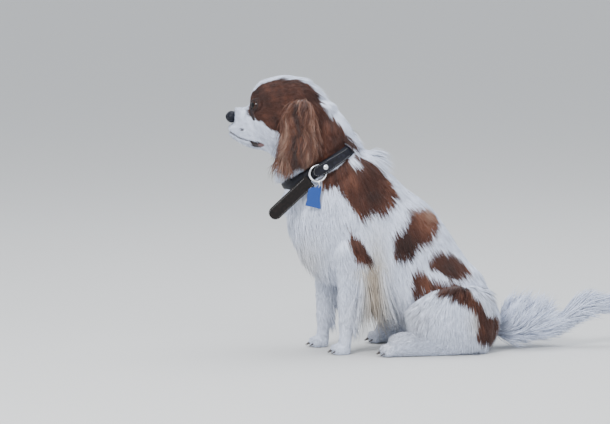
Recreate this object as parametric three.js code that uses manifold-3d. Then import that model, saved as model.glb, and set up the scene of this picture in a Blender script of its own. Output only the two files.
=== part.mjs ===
// A Cavalier King Charles spaniel sitting on the floor, life size, as a still museum model.
// Millimetres, +Z up. The dog looks along -X and its left side is at -Y. The origin is on the
// floor under the middle of the rump. Each sub-part is one closed solid in its own mesh.
import * as THREE from 'three';
import { mergeVertices } from 'three/addons/utils/BufferGeometryUtils.js';
import Module from 'manifold-3d';

const wasm = await Module();
wasm.setup();

// Driving dimensions
const GAP = 0.3; // air between two sub-parts that touch
const FLOOR_DEPTH = 60; // how far the block under the floor reaches down
const HEAD_TURN = THREE.MathUtils.degToRad(9); // the head looks to the dog's right
const HEAD_PIVOT = new THREE.Vector3(-262, 0, 0); // the upright axis that the head turns about
const EYE_RADIUS = 11;
const EYE_CENTRE = new THREE.Vector3(-348, 29.5, 408.6);
const EYE_LOOK = new THREE.Vector3(-0.76, 0.64, 0.08).normalize();
const LID_ROLL = 2.3; // half the thickness of an eyelid
const NOSE_CENTRE = new THREE.Vector3(-394, 0, 387.8);
const NOSE_SIZE = new THREE.Vector3(8.5, 12.5, 9.8); // half sizes of the nose leather
const LEG_SPREAD = 44; // a foreleg's distance from the middle of the body
const FAR_LEG_STEP = -27; // the right foreleg stands this much further forward
const COLLAR_NAPE = new THREE.Vector3(-190, 0, 341.5);
const COLLAR_THROAT = new THREE.Vector3(-306, 0, 275);
const COLLAR_HALF_WIDTH = 53; // from the middle of the neck to the outside of the band
const BAND_WIDTH = 20;
const LEATHER = 3.4; // thickness of one layer of collar leather
const RING_RADIUS = 12.6; // the collar's ring, to the middle of its wire
const RING_WIRE = 1.7; // half the thickness of that wire
const TAG_RING_RADIUS = 6.4;
const TAG_RING_WIRE = 0.9;
const TAG_THICKNESS = 1.6;

const UP = new THREE.Vector3(0, 0, 1);
const DOWN = new THREE.Vector3(0, 0, -1);
const ACROSS = new THREE.Vector3(0, 1, 0);
const point = (x, y, z) => new THREE.Vector3(x, y, z);

// Repeatable random numbers from 0 to 1, from a seed
function seeded(seed) {
  let state = seed;
  return () => {
    state = (state + 0x6d2b79f5) | 0;
    let mixed = Math.imul(state ^ (state >>> 15), 1 | state);
    mixed = (mixed + Math.imul(mixed ^ (mixed >>> 7), 61 | mixed)) ^ mixed;
    return ((mixed ^ (mixed >>> 14)) >>> 0) / 4294967296;
  };
}

// A closed geometry as a solid whose faces point out
function solid(geometry) {
  const bare = geometry.index ? geometry.toNonIndexed() : geometry.clone();
  for (const name of Object.keys(bare.attributes)) {
    if (name !== 'position') bare.deleteAttribute(name);
  }
  const merged = mergeVertices(bare, 1e-3);
  const corners = new Uint32Array(merged.index.array);
  const build = () =>
    new wasm.Manifold(
      new wasm.Mesh({
        numProp: 3,
        vertProperties: merged.attributes.position.array,
        triVerts: corners,
      }),
    );
  const made = build();
  if (made.volume() >= 0) return made;
  for (let i = 0; i < corners.length; i += 3) {
    [corners[i + 1], corners[i + 2]] = [corners[i + 2], corners[i + 1]];
  }
  return build();
}

const join = (solids) => solids.reduce((all, one) => all.add(one));

// The largest closed surface of a solid, with its other scraps left out
function largest(made) {
  const bodies = made.decompose();
  return bodies.reduce((best, body) => (body.volume() > best.volume() ? body : best));
}

// Every vertex of a geometry moved to where a function puts it
function reshape(geometry, place) {
  const position = geometry.attributes.position;
  const vertex = new THREE.Vector3();
  for (let i = 0; i < position.count; i += 1) {
    const moved = place(vertex.fromBufferAttribute(position, i), i);
    position.setXYZ(i, moved.x, moved.y, moved.z);
  }
  return geometry;
}

// Sections of a rounded body. Each oval runs from its top to its low point, both [x, z], and
// reaches half to each side of y. pear widens the low end, square fills the corners and bow
// pushes the middle of the oval sideways. The first and last are where the body closes.
class Sections {
  constructor(rows) {
    const curve = (read) =>
      new THREE.CatmullRomCurve3(rows.map(read), false, 'catmullrom', 0.5);
    this.top = curve(({ top, y = 0 }) => point(top[0], y, top[1]));
    this.low = curve(({ low, y = 0 }) => point(low[0], y, low[1]));
    this.form = curve(({ half, pear = 0, square = 0 }) => point(half, pear, square));
    this.bend = curve(({ bow = 0 }) => point(bow, 0, 0));
    this.last = rows.length - 1;
  }

  // The point at share along the body and turn round it, with the body grown by grow
  at(share, turn, grow = 0) {
    const top = this.top.getPoint(share);
    const low = this.low.getPoint(share);
    const form = this.form.getPoint(share);
    const bow = this.bend.getPoint(share).x;
    const fromEnd = Math.min(share, 1 - share) * this.last;
    const dome = fromEnd < 1 ? Math.sqrt(1 - (1 - fromEnd) ** 2) : 1;
    const depth = low.clone().sub(top);
    const halfDepth = (depth.length() / 2 + grow) * dome;
    const power = 1 - 0.6 * form.z;
    const rounded = (value) => Math.sign(value) * Math.abs(value) ** power;
    const along = rounded(Math.cos(turn));
    const side = rounded(Math.sin(turn)) * (1 + form.y * along);
    const made = top.add(low).multiplyScalar(0.5);
    if (fromEnd < 1 && grow) {
      const step = share < 0.5 ? 0.02 : -0.02;
      const inner = this.top.getPoint(share + step).add(this.low.getPoint(share + step));
      const outward = made.clone().sub(inner.multiplyScalar(0.5)).normalize();
      made.addScaledVector(outward, grow * (1 - fromEnd));
    }
    made.addScaledVector(depth.normalize(), along * halfDepth);
    made.y += side * (form.x + grow) * dome + bow * (1 - along * along) * dome;
    return made;
  }

  // The point at share and turn, and the direction that faces out of the body there
  surface(share, turn) {
    const here = this.at(share, turn);
    const along = this.at(share + 0.01, turn).sub(this.at(share - 0.01, turn));
    const round = this.at(share, turn + 0.02).sub(this.at(share, turn - 0.02));
    const out = along.cross(round).normalize();
    const middle = this.at(share, 0).add(this.at(share, Math.PI)).multiplyScalar(0.5);
    if (out.dot(here.clone().sub(middle)) < 0) out.negate();
    return { here, out };
  }

  // The closed body: a sphere's rings laid on the sections
  body({ sides = 24, rings = 20, grow = 0 } = {}) {
    return reshape(new THREE.SphereGeometry(1, sides, rings), (vertex, i) => {
      const ring = Math.floor(i / (sides + 1));
      const turn = ((i % (sides + 1)) / sides) * 2 * Math.PI;
      return this.at(ring / rings, turn, grow);
    });
  }
}

// A flat tapered lock of hair. It leaves its root along lie, ends along droop, and is widest
// across both its run and the surface's out direction.
function lock({ root, out, lie, droop, roll, length, width, thick, sink, steps, grow }) {
  const SIDES = grow > 0 ? 6 : 3; // three give a low ridge along the outside of the lock
  const start = root.clone().addScaledVector(out, -sink);
  const middle = root.clone().addScaledVector(lie, length * 0.45);
  const end = middle.clone().addScaledVector(droop, length * 0.55 + grow * 3);
  const curve = new THREE.QuadraticBezierCurve3(start, middle, end);
  const face = out.clone().applyAxisAngle(lie, roll); // the way that the flat of the lock looks
  const geometry = new THREE.ConeGeometry(1, 1, SIDES, steps);
  return reshape(geometry, (vertex) => {
    const share = vertex.y + 0.5;
    const turn = share > 0.999 ? 0 : Math.atan2(vertex.z, vertex.x);
    const run = curve.getTangent(share);
    const side = run.clone().cross(face).normalize();
    const back = side.clone().cross(run).normalize();
    const taper = (1 - share) ** 0.75 * (0.7 + 0.8 * share);
    return curve
      .getPoint(share)
      .addScaledVector(side, Math.cos(turn) * (width / 2 + grow) * taper)
      .addScaledVector(back, Math.sin(turn) * (thick / 2 + grow) * taper);
  });
}

// Locks rooted on a body at every share and turn named. aim gives the way a lock leaves its
// root and the way it ends; a seed varies their places, lengths and widths a little.
function coatLocks(sections, options) {
  const { shares, turns, aim, length, width, seed } = options;
  const { thick = 3.4, sink = 4, steps = 3, grow = 0, roll = 0 } = options;
  const random = seeded(seed);
  const vary = (size) => (random() * 2 - 1) * size;
  return shares.flatMap((share, ring) =>
    turns.map((turn) => {
      const step = turns.length > 1 ? turns[1] - turns[0] : 0;
      const round = turn + (ring % 2) * step * 0.5 + vary(0.05);
      const at = share + vary(0.01);
      const { here, out } = sections.surface(at, round);
      const along = sections.at(at + 0.01, round).sub(sections.at(at - 0.01, round)).normalize();
      const { lie, droop } = aim({ out, here, along, share });
      return lock({
        root: here,
        out,
        lie: lie.normalize(),
        droop: droop.normalize(),
        roll: vary(roll),
        length: length * (1 + vary(0.16)),
        width: width * (1 + vary(0.15)),
        thick,
        sink,
        steps,
        grow,
      });
    }),
  );
}

const turnedHead = (geometry) =>
  geometry
    .translate(-HEAD_PIVOT.x, 0, 0)
    .rotateZ(-HEAD_TURN)
    .translate(HEAD_PIVOT.x, 0, 0);

const floorBlock = solid(
  new THREE.BoxGeometry(1200, 600, FLOOR_DEPTH).translate(0, 0, -FLOOR_DEPTH / 2),
);

// One section: its top or front point, its low or back point, its half width, and what varies
const row = (top, low, half, more = {}) => ({ top, low, half, ...more });

// Head, in profile from the nose to the nape, before it is turned
const headSections = new Sections([
  row([-398, 396], [-397, 367], 15),
  row([-391, 401], [-391, 354], 21, { square: 0.35, pear: -0.12 }),
  row([-381, 404], [-380, 345], 24, { square: 0.35, pear: -0.18 }),
  row([-371, 405], [-366, 338], 26, { square: 0.3, pear: -0.2 }),
  row([-363, 410], [-355, 335], 30, { square: 0.2, pear: -0.12 }),
  row([-360, 429], [-345, 333], 38, { square: 0.1, pear: 0.05 }),
  row([-348, 446], [-333, 330], 45, { pear: 0.1 }),
  row([-330, 454], [-317, 327], 49, { pear: 0.12 }),
  row([-305, 458], [-297, 323], 51, { pear: 0.12 }),
  row([-280, 454], [-274, 323], 50, { pear: 0.1 }),
  row([-262, 444], [-256, 328], 44),
  row([-249, 427], [-244, 340], 34),
  row([-239, 408], [-238, 358], 18),
]);

// The mouth, in profile from the front to its corner
const MOUTH_LINE = [
  [-406, 372],
  [-393, 364.5],
  [-382, 355.5],
  [-369, 351.2],
  [-353, 349],
  [-341, 347.5],
];

const neckSections = new Sections([
  row([-244, 428], [-327, 339], 38),
  row([-225, 415], [-320, 327], 42),
  row([-209, 397], [-317, 307], 45),
  row([-197, 372], [-314, 288], 48),
  row([-188, 346], [-310, 267], 52),
  row([-170, 335], [-312, 248], 57),
  row([-150, 327], [-306, 233], 58),
]);

const torsoSections = new Sections([
  row([-190, 341], [-310, 267], 42),
  row([-176, 336], [-308, 245], 54),
  row([-158, 331], [-304, 220], 61),
  row([-140, 310], [-297, 193], 67),
  row([-119, 290], [-284, 166], 70),
  row([-96, 271], [-260, 138], 70),
  row([-66, 248], [-222, 120], 70),
  row([-40, 216], [-184, 103], 70),
  row([-18, 183], [-150, 84], 70, { pear: 0.05 }),
  row([0, 157], [-120, 56], 72, { pear: 0.05 }),
  row([20, 135], [-92, 16], 74, { pear: 0.08 }),
  row([36, 106], [-50, -8], 74, { pear: 0.1 }),
  row([47, 77], [0, -12], 68),
  row([54, 49.8], [38, -4], 44),
]);
const CHEST_LOCKS = {
  shares: [0.1, 0.17, 0.24, 0.31],
  turns: [-0.85, -0.3, 0.25, 0.8],
  length: 48,
  width: 32,
  thick: 4.5,
};
const WITHERS_LOCKS = {
  shares: [0.12, 0.17],
  turns: [Math.PI - 0.7, Math.PI - 0.2, Math.PI + 0.3],
  length: 30,
  width: 22,
};
const BELLY_LOCKS = {
  shares: [0.52, 0.63],
  turns: [-0.9, -0.1, 0.7],
  length: 38,
  width: 24,
};

// An ear hangs flat beside the cheek. Its sections run from the front edge to the back edge.
const earSections = new Sections([
  row([-290, 426], [-266, 426], 3, { y: 42 }),
  row([-302, 416], [-253, 416], 6, { y: 49, bow: 4 }),
  row([-311, 399], [-247, 397], 7.5, { y: 52, bow: 8 }),
  row([-313, 376], [-244, 373], 8, { y: 52, bow: 9 }),
  row([-312, 353], [-246, 350], 7.5, { y: 52, bow: 8 }),
  row([-309, 335], [-254, 333], 5.5, { y: 51, bow: 5 }),
  row([-303, 322], [-264, 321], 3, { y: 50, bow: 2 }),
]);
const EAR_FRINGE = {
  shares: [0.6, 0.8],
  turns: [0.1, 1.1, 2.1, 3.1],
  length: 40,
  width: 34,
  thick: 6,
  sink: 3,
};

// A foreleg, from the shoulder to the paw. Its sections run from front to back.
const forelegSections = new Sections([
  row([-234, 205], [-168, 217], 18, { y: LEG_SPREAD }),
  row([-235, 187], [-162, 193], 22, { y: LEG_SPREAD + 3 }),
  row([-232, 165], [-160, 168], 22, { y: LEG_SPREAD + 3 }),
  row([-229, 143], [-164, 143], 19, { y: LEG_SPREAD + 2 }),
  row([-226, 117], [-176, 115], 15.5, { y: LEG_SPREAD + 1 }),
  row([-225, 90], [-186, 87], 13, { y: LEG_SPREAD }),
  row([-223, 60], [-194, 59], 11.5, { y: LEG_SPREAD }),
  row([-221, 36], [-198, 36], 11.5, { y: LEG_SPREAD }),
  row([-223, 20], [-199, 20], 13, { y: LEG_SPREAD }),
  row([-226, 6], [-200, 5], 14.5, { y: LEG_SPREAD }),
  row([-224, -9], [-202, -9], 13, { y: LEG_SPREAD }),
]);

const ELBOW_TUFT = { shares: [0.21, 0.29], turns: [0.5, 0.9, 1.3], length: 116, width: 14 };
const LEG_FRINGE = { shares: [0.42, 0.54, 0.64], turns: [-0.4, 0.3], length: 34, width: 11 };

// A thigh folded against the flank, from behind to the knee
const thighSections = new Sections([
  row([40, 93], [34, 19.5], 16, { y: 50 }),
  row([26, 109], [20, -2], 25, { y: 56 }),
  row([0, 118], [-6, -6], 30, { y: 62 }),
  row([-32, 119], [-32, -6], 32, { y: 65 }),
  row([-60, 113], [-56, 0], 32, { y: 66 }),
  row([-84, 103], [-80, 10.8], 30, { y: 66 }),
  row([-104, 87], [-98, 23.8], 24, { y: 66 }),
  row([-117, 69], [-112, 36.8], 14, { y: 66 }),
]);

const BREECH_LOCKS = {
  shares: [0.22, 0.4, 0.58, 0.76],
  turns: [1.15, 1.75],
  length: 40,
  width: 19,
};

// A hind foot flat on the floor, from the heel to the toes
const hindfootSections = new Sections([
  row([-14, 24], [-14, 3], 10, { y: 72 }),
  row([-30, 33], [-30, -3], 14, { y: 73 }),
  row([-60, 38], [-60, -4], 15.5, { y: 75 }),
  row([-90, 42], [-90, -4], 17, { y: 77 }),
  row([-116, 43], [-116, -4], 18.5, { y: 78 }),
  row([-138, 36], [-137, -4], 18, { y: 78 }),
  row([-149, 20], [-147, 2], 12, { y: 78 }),
]);

// The tail lies on the floor behind the rump. Its core reaches half way to the plume's tips.
const tailSections = new Sections([
  row([28, 60], [28, 20], 14),
  row([44, 58], [42, 15], 18),
  row([66, 60], [64, 10], 23),
  row([96, 60], [94, 9], 24),
  row([124, 57], [126, 13], 21),
  row([148, 58], [152, 23], 17),
  row([170, 75], [178, 38], 18),
  row([192, 84], [199, 49], 18),
  row([214, 86], [217, 52], 16),
  row([236, 83], [236, 58], 12),
  row([250, 78], [249, 64], 6),
]);
const TAIL_PLUME = {
  shares: [0.13, 0.24, 0.35],
  turns: [0.5, 1.7, 2.75, 3.6, 4.7],
  length: 54,
  width: 44,
  thick: 6.5,
  roll: 0.9,
};
const TAIL_TIP = {
  shares: [0.52, 0.66, 0.81],
  turns: [0.6, 1.85, 3.1, 4.35, 5.6],
  length: 44,
  width: 34,
  thick: 5.5,
  roll: 0.6,
};

// Eyes
const lookTurn = new THREE.Quaternion().setFromUnitVectors(UP, EYE_LOOK);
function eyeAt(radius, side, { sides = 12, rings = 8 } = {}) {
  const ball = new THREE.SphereGeometry(radius, sides, rings)
    .rotateX(Math.PI / 2)
    .applyQuaternion(lookTurn)
    .translate(EYE_CENTRE.x, EYE_CENTRE.y, EYE_CENTRE.z)
    .scale(1, side, 1);
  return solid(turnedHead(ball));
}

// The rim of the two lids: a ring on the eyeball, lower at its top and bottom than at its corners
function lidsAt(side) {
  const ROUND = 14;
  const THICK = 5;
  const ring = reshape(new THREE.TorusGeometry(1, 0.5, THICK, ROUND), (vertex, i) => {
    const turn = ((i % (ROUND + 1)) / ROUND) * 2 * Math.PI;
    const roll = (Math.floor(i / (ROUND + 1)) / THICK) * 2 * Math.PI;
    const open = THREE.MathUtils.degToRad(53 - 8 * Math.sin(turn) ** 2);
    const reach = EYE_RADIUS + 0.9 + LID_ROLL * Math.cos(roll);
    const tilt = open + (LID_ROLL * Math.sin(roll)) / EYE_RADIUS;
    return point(
      reach * Math.sin(tilt) * Math.cos(turn),
      reach * Math.sin(tilt) * Math.sin(turn),
      reach * Math.cos(tilt),
    );
  });
  ring
    .applyQuaternion(lookTurn)
    .translate(EYE_CENTRE.x, EYE_CENTRE.y, EYE_CENTRE.z)
    .scale(1, side, 1);
  return solid(turnedHead(ring));
}

// Nose leather
function noseBody(grow = 0) {
  const body = reshape(new THREE.SphereGeometry(1, 14, 9), (vertex) => {
    const flat = 1 - 0.25 * Math.max(0, -vertex.x) ** 3;
    return point(
      NOSE_CENTRE.x + vertex.x * (NOSE_SIZE.x + grow),
      NOSE_CENTRE.y + vertex.y * (NOSE_SIZE.y + grow) * (1 - 0.18 * Math.max(0, -vertex.z)),
      NOSE_CENTRE.z + vertex.z * (NOSE_SIZE.z + grow) * flat,
    );
  });
  return solid(turnedHead(body));
}
function nostril(side) {
  const hole = new THREE.SphereGeometry(1, 8, 6)
    .scale(4.4, 2.3, 2.9)
    .rotateX(side * 0.5)
    .translate(NOSE_CENTRE.x - 8.2, side * 6.4, NOSE_CENTRE.z - 0.6);
  return solid(turnedHead(hole));
}
const philtrum = () =>
  solid(
    turnedHead(
      new THREE.BoxGeometry(3.2, 0.9, 16).translate(NOSE_CENTRE.x - 8.9, 0, NOSE_CENTRE.z - 7),
    ),
  );

// A band across the whole muzzle that follows the mouth line, from below it to above it
function mouthBand(below, above, past = 0) {
  const shape = new THREE.Shape();
  const line = MOUTH_LINE.map(([x, z], i) => {
    const corner = i === MOUTH_LINE.length - 1;
    return [corner ? x + past : x, z, corner ? 0.4 : 1];
  });
  shape.moveTo(line[0][0], line[0][1] + above);
  line.slice(1).forEach(([x, z, fade]) => shape.lineTo(x, z + above * fade));
  line.reverse().forEach(([x, z, fade]) => shape.lineTo(x, z - below * fade));
  const band = new THREE.ExtrudeGeometry(shape, { depth: 110, bevelEnabled: false });
  return solid(turnedHead(band.translate(0, 0, -55).rotateX(Math.PI / 2)));
}
const headForm = (grow) =>
  solid(turnedHead(headSections.body({ sides: 20, rings: 20, grow })));

const eyeLeft = eyeAt(EYE_RADIUS, -1);
const eyeRight = eyeAt(EYE_RADIUS, 1);
const nose = noseBody().subtract(nostril(-1)).subtract(nostril(1)).subtract(philtrum());
const lips = mouthBand(3, 4.5, 3).intersect(headForm(1.1));
const mouth = mouthBand(0.7, 0.7).subtract(headForm(-3));
const head = headForm(0)
  .add(lips)
  .add(lidsAt(-1))
  .add(lidsAt(1))
  .subtract(mouth)
  .subtract(noseBody(GAP))
  .subtract(eyeAt(EYE_RADIUS + GAP, -1))
  .subtract(eyeAt(EYE_RADIUS + GAP, 1));
const headSpace = headForm(GAP);

// Ears
const earFringe = coatLocks(earSections, {
  ...EAR_FRINGE,
  seed: 12,
  aim: ({ out, here }) => {
    const toFront = THREE.MathUtils.clamp((-270 - here.x) / 40, -0.6, 1);
    return {
      lie: point(-0.12 * toFront, 0, -1).addScaledVector(out, 0.16),
      droop: point(0.1 * toFront - 0.12, -0.02, -1),
    };
  },
});

// Collar: an oval band round the neck in a slanting plane
const collarMiddle = COLLAR_NAPE.clone().add(COLLAR_THROAT).multiplyScalar(0.5);
const collarAlong = COLLAR_THROAT.clone().sub(COLLAR_NAPE).normalize();
const collarAxis = collarAlong.clone().cross(ACROSS).normalize();
const collarLong = COLLAR_THROAT.distanceTo(COLLAR_NAPE) / 2;

// A point of the collar. turn 0 is the throat and half a turn is the nape; over is the height
// over the outside of the band and across runs along the neck.
function onCollar(turn, over, across) {
  const x = Math.cos(turn);
  const y = Math.sin(turn);
  const outX = x / collarLong;
  const outY = y / COLLAR_HALF_WIDTH;
  const size = Math.hypot(outX, outY);
  return collarMiddle
    .clone()
    .addScaledVector(collarAlong, collarLong * x + (over * outX) / size)
    .addScaledVector(ACROSS, COLLAR_HALF_WIDTH * y + (over * outY) / size)
    .addScaledVector(collarAxis, across);
}
const BAND_EDGE = [
  [0, -1],
  [0.45, -0.96],
  [1, -0.86],
  [1, 0.86],
  [0.45, 0.96],
  [0, 1],
];
function collarBand(grow = 0) {
  const ROUND = 32;
  const COUNT = BAND_EDGE.length;
  const ring = new THREE.TorusGeometry(1, 0.5, COUNT, ROUND);
  return solid(
    reshape(ring, (vertex, i) => {
      const turn = ((i % (ROUND + 1)) / ROUND) * 2 * Math.PI;
      const [height, edge] = BAND_EDGE[Math.floor(i / (ROUND + 1)) % COUNT];
      const over = (height - 1) * LEATHER + (height > 0.3 ? grow : -grow);
      return onCollar(turn, over, edge * (BAND_WIDTH / 2 + grow));
    }),
  );
}

// A flat leather end, x along it, y across it and z through it, with its far end rounded
function flatStrap(length, width, thick, { round = true, steps = 10 } = {}) {
  const TIP = round ? 5 : 0;
  const straight = length - (round ? width / 2 : 0);
  const strip = new THREE.BoxGeometry(1, 1, 1, steps + TIP, 1, 1);
  return reshape(strip, (vertex) => {
    const step = Math.round((vertex.x + 0.5) * (steps + TIP));
    const turn = (Math.max(0, step - steps) / Math.max(1, TIP)) * 1.3;
    const x = (straight * Math.min(step, steps)) / steps + (width / 2) * Math.sin(turn);
    return point(x, vertex.y * width * Math.cos(turn), (vertex.z + 0.5) * thick);
  });
}
// A length of leather laid over the band between two turns, its height set by lift(share)
function leatherOver(fromTurn, toTurn, lift, width, thick, ends, grow = 0, narrow = () => 1) {
  const length = Math.abs(toTurn - fromTurn) * 66;
  const flat = flatStrap(length, width + 2 * grow, thick + 2 * grow, { steps: 16, ...ends });
  return solid(
    reshape(flat, (vertex) => {
      const share = (vertex.x * (1 + (2 * grow) / length) - grow) / length;
      const turn = fromTurn + (toTurn - fromTurn) * share;
      return onCollar(turn, lift(share) + vertex.z - grow, vertex.y * narrow(share));
    }),
  );
}

// The folded end that carries the ring, lifted where it passes over the ring's wire
const END_FROM = -2.42;
const END_TO = -1.34;
const RING_TURN = -1.405;
const RING_LIFT = 5.2; // height of the ring's middle over the band
const RING_LEAN_ALONG = 0.2;
const RING_DROP = 2.4; // the ring hangs this much below the middle of the band
const smooth = (value) => THREE.MathUtils.smoothstep(value, 0, 1);
const endLift = (share) => GAP + 6.1 * smooth((share - 0.5) / 0.24);
const endWidth = (share) => 0.8 + 0.2 * smooth(share / 0.7);
const collarEndForm = (grow = 0) =>
  leatherOver(END_FROM, END_TO, endLift, BAND_WIDTH - 0.8, LEATHER, {}, grow, endWidth);

function onRing(around, out, over) {
  const reach = RING_RADIUS + out;
  const along = reach * Math.sin(around);
  const across = reach * Math.cos(around) + RING_DROP;
  const lean = RING_LEAN_ALONG * along + 0.3 * Math.max(0, Math.abs(across) - 10);
  return onCollar(RING_TURN + along / 66, RING_LIFT + lean + over, across);
}
function collarRing(grow = 0) {
  const ROUND = 18;
  const THICK = 6;
  return solid(
    reshape(new THREE.TorusGeometry(1, 0.5, THICK, ROUND), (vertex, i) => {
      const around = ((i % (ROUND + 1)) / ROUND) * 2 * Math.PI;
      const roll = (Math.floor(i / (ROUND + 1)) / THICK) * 2 * Math.PI;
      const reach = RING_WIRE + grow;
      return onRing(around, reach * Math.cos(roll), reach * Math.sin(roll));
    }),
  );
}

const RIVET_TURN = -1.625;
const rivetShare = (RIVET_TURN - END_FROM) / (END_TO - END_FROM);
function rivetForm(grow = 0) {
  const top = endLift(rivetShare) + LEATHER;
  const middle = onCollar(RIVET_TURN, top, 0);
  const out = onCollar(RIVET_TURN, top + 1, 0).sub(middle).normalize();
  const button = new THREE.SphereGeometry(1, 12, 6)
    .scale(4.2 + grow, 4.2 + grow, 2.3 + grow)
    .applyQuaternion(new THREE.Quaternion().setFromUnitVectors(UP, out))
    .translate(middle.x, middle.y, middle.z);
  return solid(button);
}

// The loose end of the strap, past the throat on the left side
const STRAP_START = point(-269.5, -53.4, 288.4);
const STRAP_TIP = point(-334.5, -56.5, 228.8);
function looseStrap(grow = 0) {
  const along = STRAP_TIP.clone().sub(STRAP_START);
  const length = along.length();
  along.normalize();
  const out = point(0, -1, 0).addScaledVector(along, along.y).normalize();
  const across = along.clone().cross(out).normalize();
  const flat = flatStrap(length + 2 * grow, 22 + 2 * grow, LEATHER + 2 * grow, { steps: 6 });
  return solid(
    reshape(flat, (vertex) => {
      return STRAP_START.clone()
        .addScaledVector(along, vertex.x - grow)
        .addScaledVector(across, vertex.y)
        .addScaledVector(out, vertex.z - grow);
    }),
  );
}

// The leather keeper round the band at the throat
const keeperForm = (grow = 0) =>
  leatherOver(-0.66, -0.34, () => GAP, BAND_WIDTH + 2, 2.4, { round: false, steps: 4 }, grow);

// The tag and its little ring
const ringLow = onRing(0.35, 0, 0);
const TAG_RING_CENTRE = ringLow.clone().add(point(0, -0.4, -3.4));
function tagRing(grow = 0) {
  const ring = new THREE.TorusGeometry(TAG_RING_RADIUS, TAG_RING_WIRE + grow, 6, 16)
    .rotateY(Math.PI / 2)
    .translate(TAG_RING_CENTRE.x, TAG_RING_CENTRE.y, TAG_RING_CENTRE.z);
  return solid(ring);
}
const TAG_LEAN = 0.05;
function tagPlate(grow = 0, withHole = true) {
  const g = grow;
  const plate = new THREE.Shape();
  plate.moveTo(-17 - g, -3);
  plate.bezierCurveTo(-15 - g, 0 + g, -8, -0.6 + g, -4.8, 0.4 + g);
  plate.bezierCurveTo(-4, 4.6 + g, 3.8 + g, 4.6 + g, 3.8 + g, 0);
  plate.bezierCurveTo(3.8 + g, -4, 3.2 + g, -8, 2.8 + g, -12);
  plate.bezierCurveTo(2.4 + g, -15, 1.2 + g, -18, 1.6 + g, -22);
  plate.bezierCurveTo(2 + g, -26, 3 + g, -30, 2.6 + g, -36 - g);
  plate.bezierCurveTo(-3, -35 - g, -13, -31.5 - g, -22.5 - g, -30 - g);
  plate.bezierCurveTo(-22 - g, -25, -20 - g, -22, -19.6 - g, -19);
  plate.bezierCurveTo(-19.4 - g, -16, -20 - g, -14, -19 - g, -11);
  plate.bezierCurveTo(-18 - g, -8, -17.6 - g, -6, -17 - g, -3);
  const thick = TAG_THICKNESS + 2 * g;
  const geometry = new THREE.ExtrudeGeometry(plate, {
    depth: thick,
    bevelEnabled: false,
    curveSegments: 3,
  });
  const hang = (made) =>
    solid(
      made
        .rotateX(Math.PI / 2 - TAG_LEAN)
        .translate(TAG_RING_CENTRE.x, TAG_RING_CENTRE.y, TAG_RING_CENTRE.z - TAG_RING_RADIUS),
    );
  const flat = hang(geometry.translate(0, 0, -thick / 2));
  if (!withHole) return flat;
  return flat.subtract(hang(new THREE.CylinderGeometry(1.6, 1.6, 9, 14).rotateX(Math.PI / 2)));
}

// Everything of the collar with air round it, to be cut out of the body
const ROOM = 2 * GAP;
const collarSpace = join([
  collarBand(ROOM),
  collarEndForm(ROOM),
  collarRing(ROOM),
  looseStrap(ROOM),
  keeperForm(ROOM),
  tagRing(ROOM),
  tagPlate(ROOM, false),
]);

// Legs. Each carries its toes and its feathering.
const FORE_TOES = [
  [-221, LEG_SPREAD - 11.5, 8, 9, 5.2, 8.5],
  [-225, LEG_SPREAD - 4.4, 9, 10, 5.6, 9.5],
  [-225, LEG_SPREAD + 4.4, 9, 10, 5.6, 9.5],
  [-221, LEG_SPREAD + 11.5, 8, 9, 5.2, 8.5],
];
const HIND_TOES = [
  [-143, 66.5, 9, 10, 5.6, 10],
  [-148, 74, 10.5, 11, 6, 11.5],
  [-148, 82, 10.5, 11, 6, 11.5],
  [-143, 89.5, 9, 10, 5.6, 10],
];
const toes = (rows, grow) =>
  rows.map(([x, y, z, long, wide, high]) =>
    new THREE.SphereGeometry(1, 7, 5)
      .scale(long + grow, wide + grow, high + grow)
      .translate(x, y, z),
  );
const elbowTuft = (grow = 0) =>
  coatLocks(forelegSections, {
    ...ELBOW_TUFT,
    seed: 21,
    steps: 4,
    grow,
    aim: () => ({ lie: point(0.26, 0.16, -1), droop: point(0.02, -0.05, -1) }),
  });
const legFringe = (grow = 0) =>
  coatLocks(forelegSections, {
    ...LEG_FRINGE,
    seed: 22,
    sink: 2.5,
    grow,
    aim: ({ out }) => ({
      lie: point(0.1, 0, -1).addScaledVector(out, 0.45),
      droop: point(0.12, 0, -1),
    }),
  });
const breechLocks = coatLocks(thighSections, {
  ...BREECH_LOCKS,
  seed: 23,
  aim: ({ out }) => ({
    lie: point(-0.25, 0, -1).addScaledVector(out, 0.3),
    droop: point(-0.1, 0, -1),
  }),
});

// A list of geometries as one solid, moved forward by step and on the side that is asked for
function limb(side, geometries, step = 0) {
  const placed = geometries.map((one) => solid(one.clone().translate(step, 0, 0).scale(1, side, 1)));
  return join(placed);
}
function forelegForm(side, { grow = 0 } = {}) {
  const leg = forelegSections.body({ sides: 12, rings: 15, grow });
  const feathers = [...elbowTuft(2 * grow), ...legFringe(2 * grow)];
  return limb(side, [leg, ...toes(FORE_TOES, grow), ...feathers], side > 0 ? FAR_LEG_STEP : 0);
}
function hindlegForm(side, { grow = 0, feathers = [] } = {}) {
  const thigh = thighSections.body({ sides: 16, rings: 11, grow });
  const foot = hindfootSections.body({ sides: 10, rings: 8, grow });
  return limb(side, [thigh, foot, ...toes(HIND_TOES, grow), ...feathers]);
}

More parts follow.
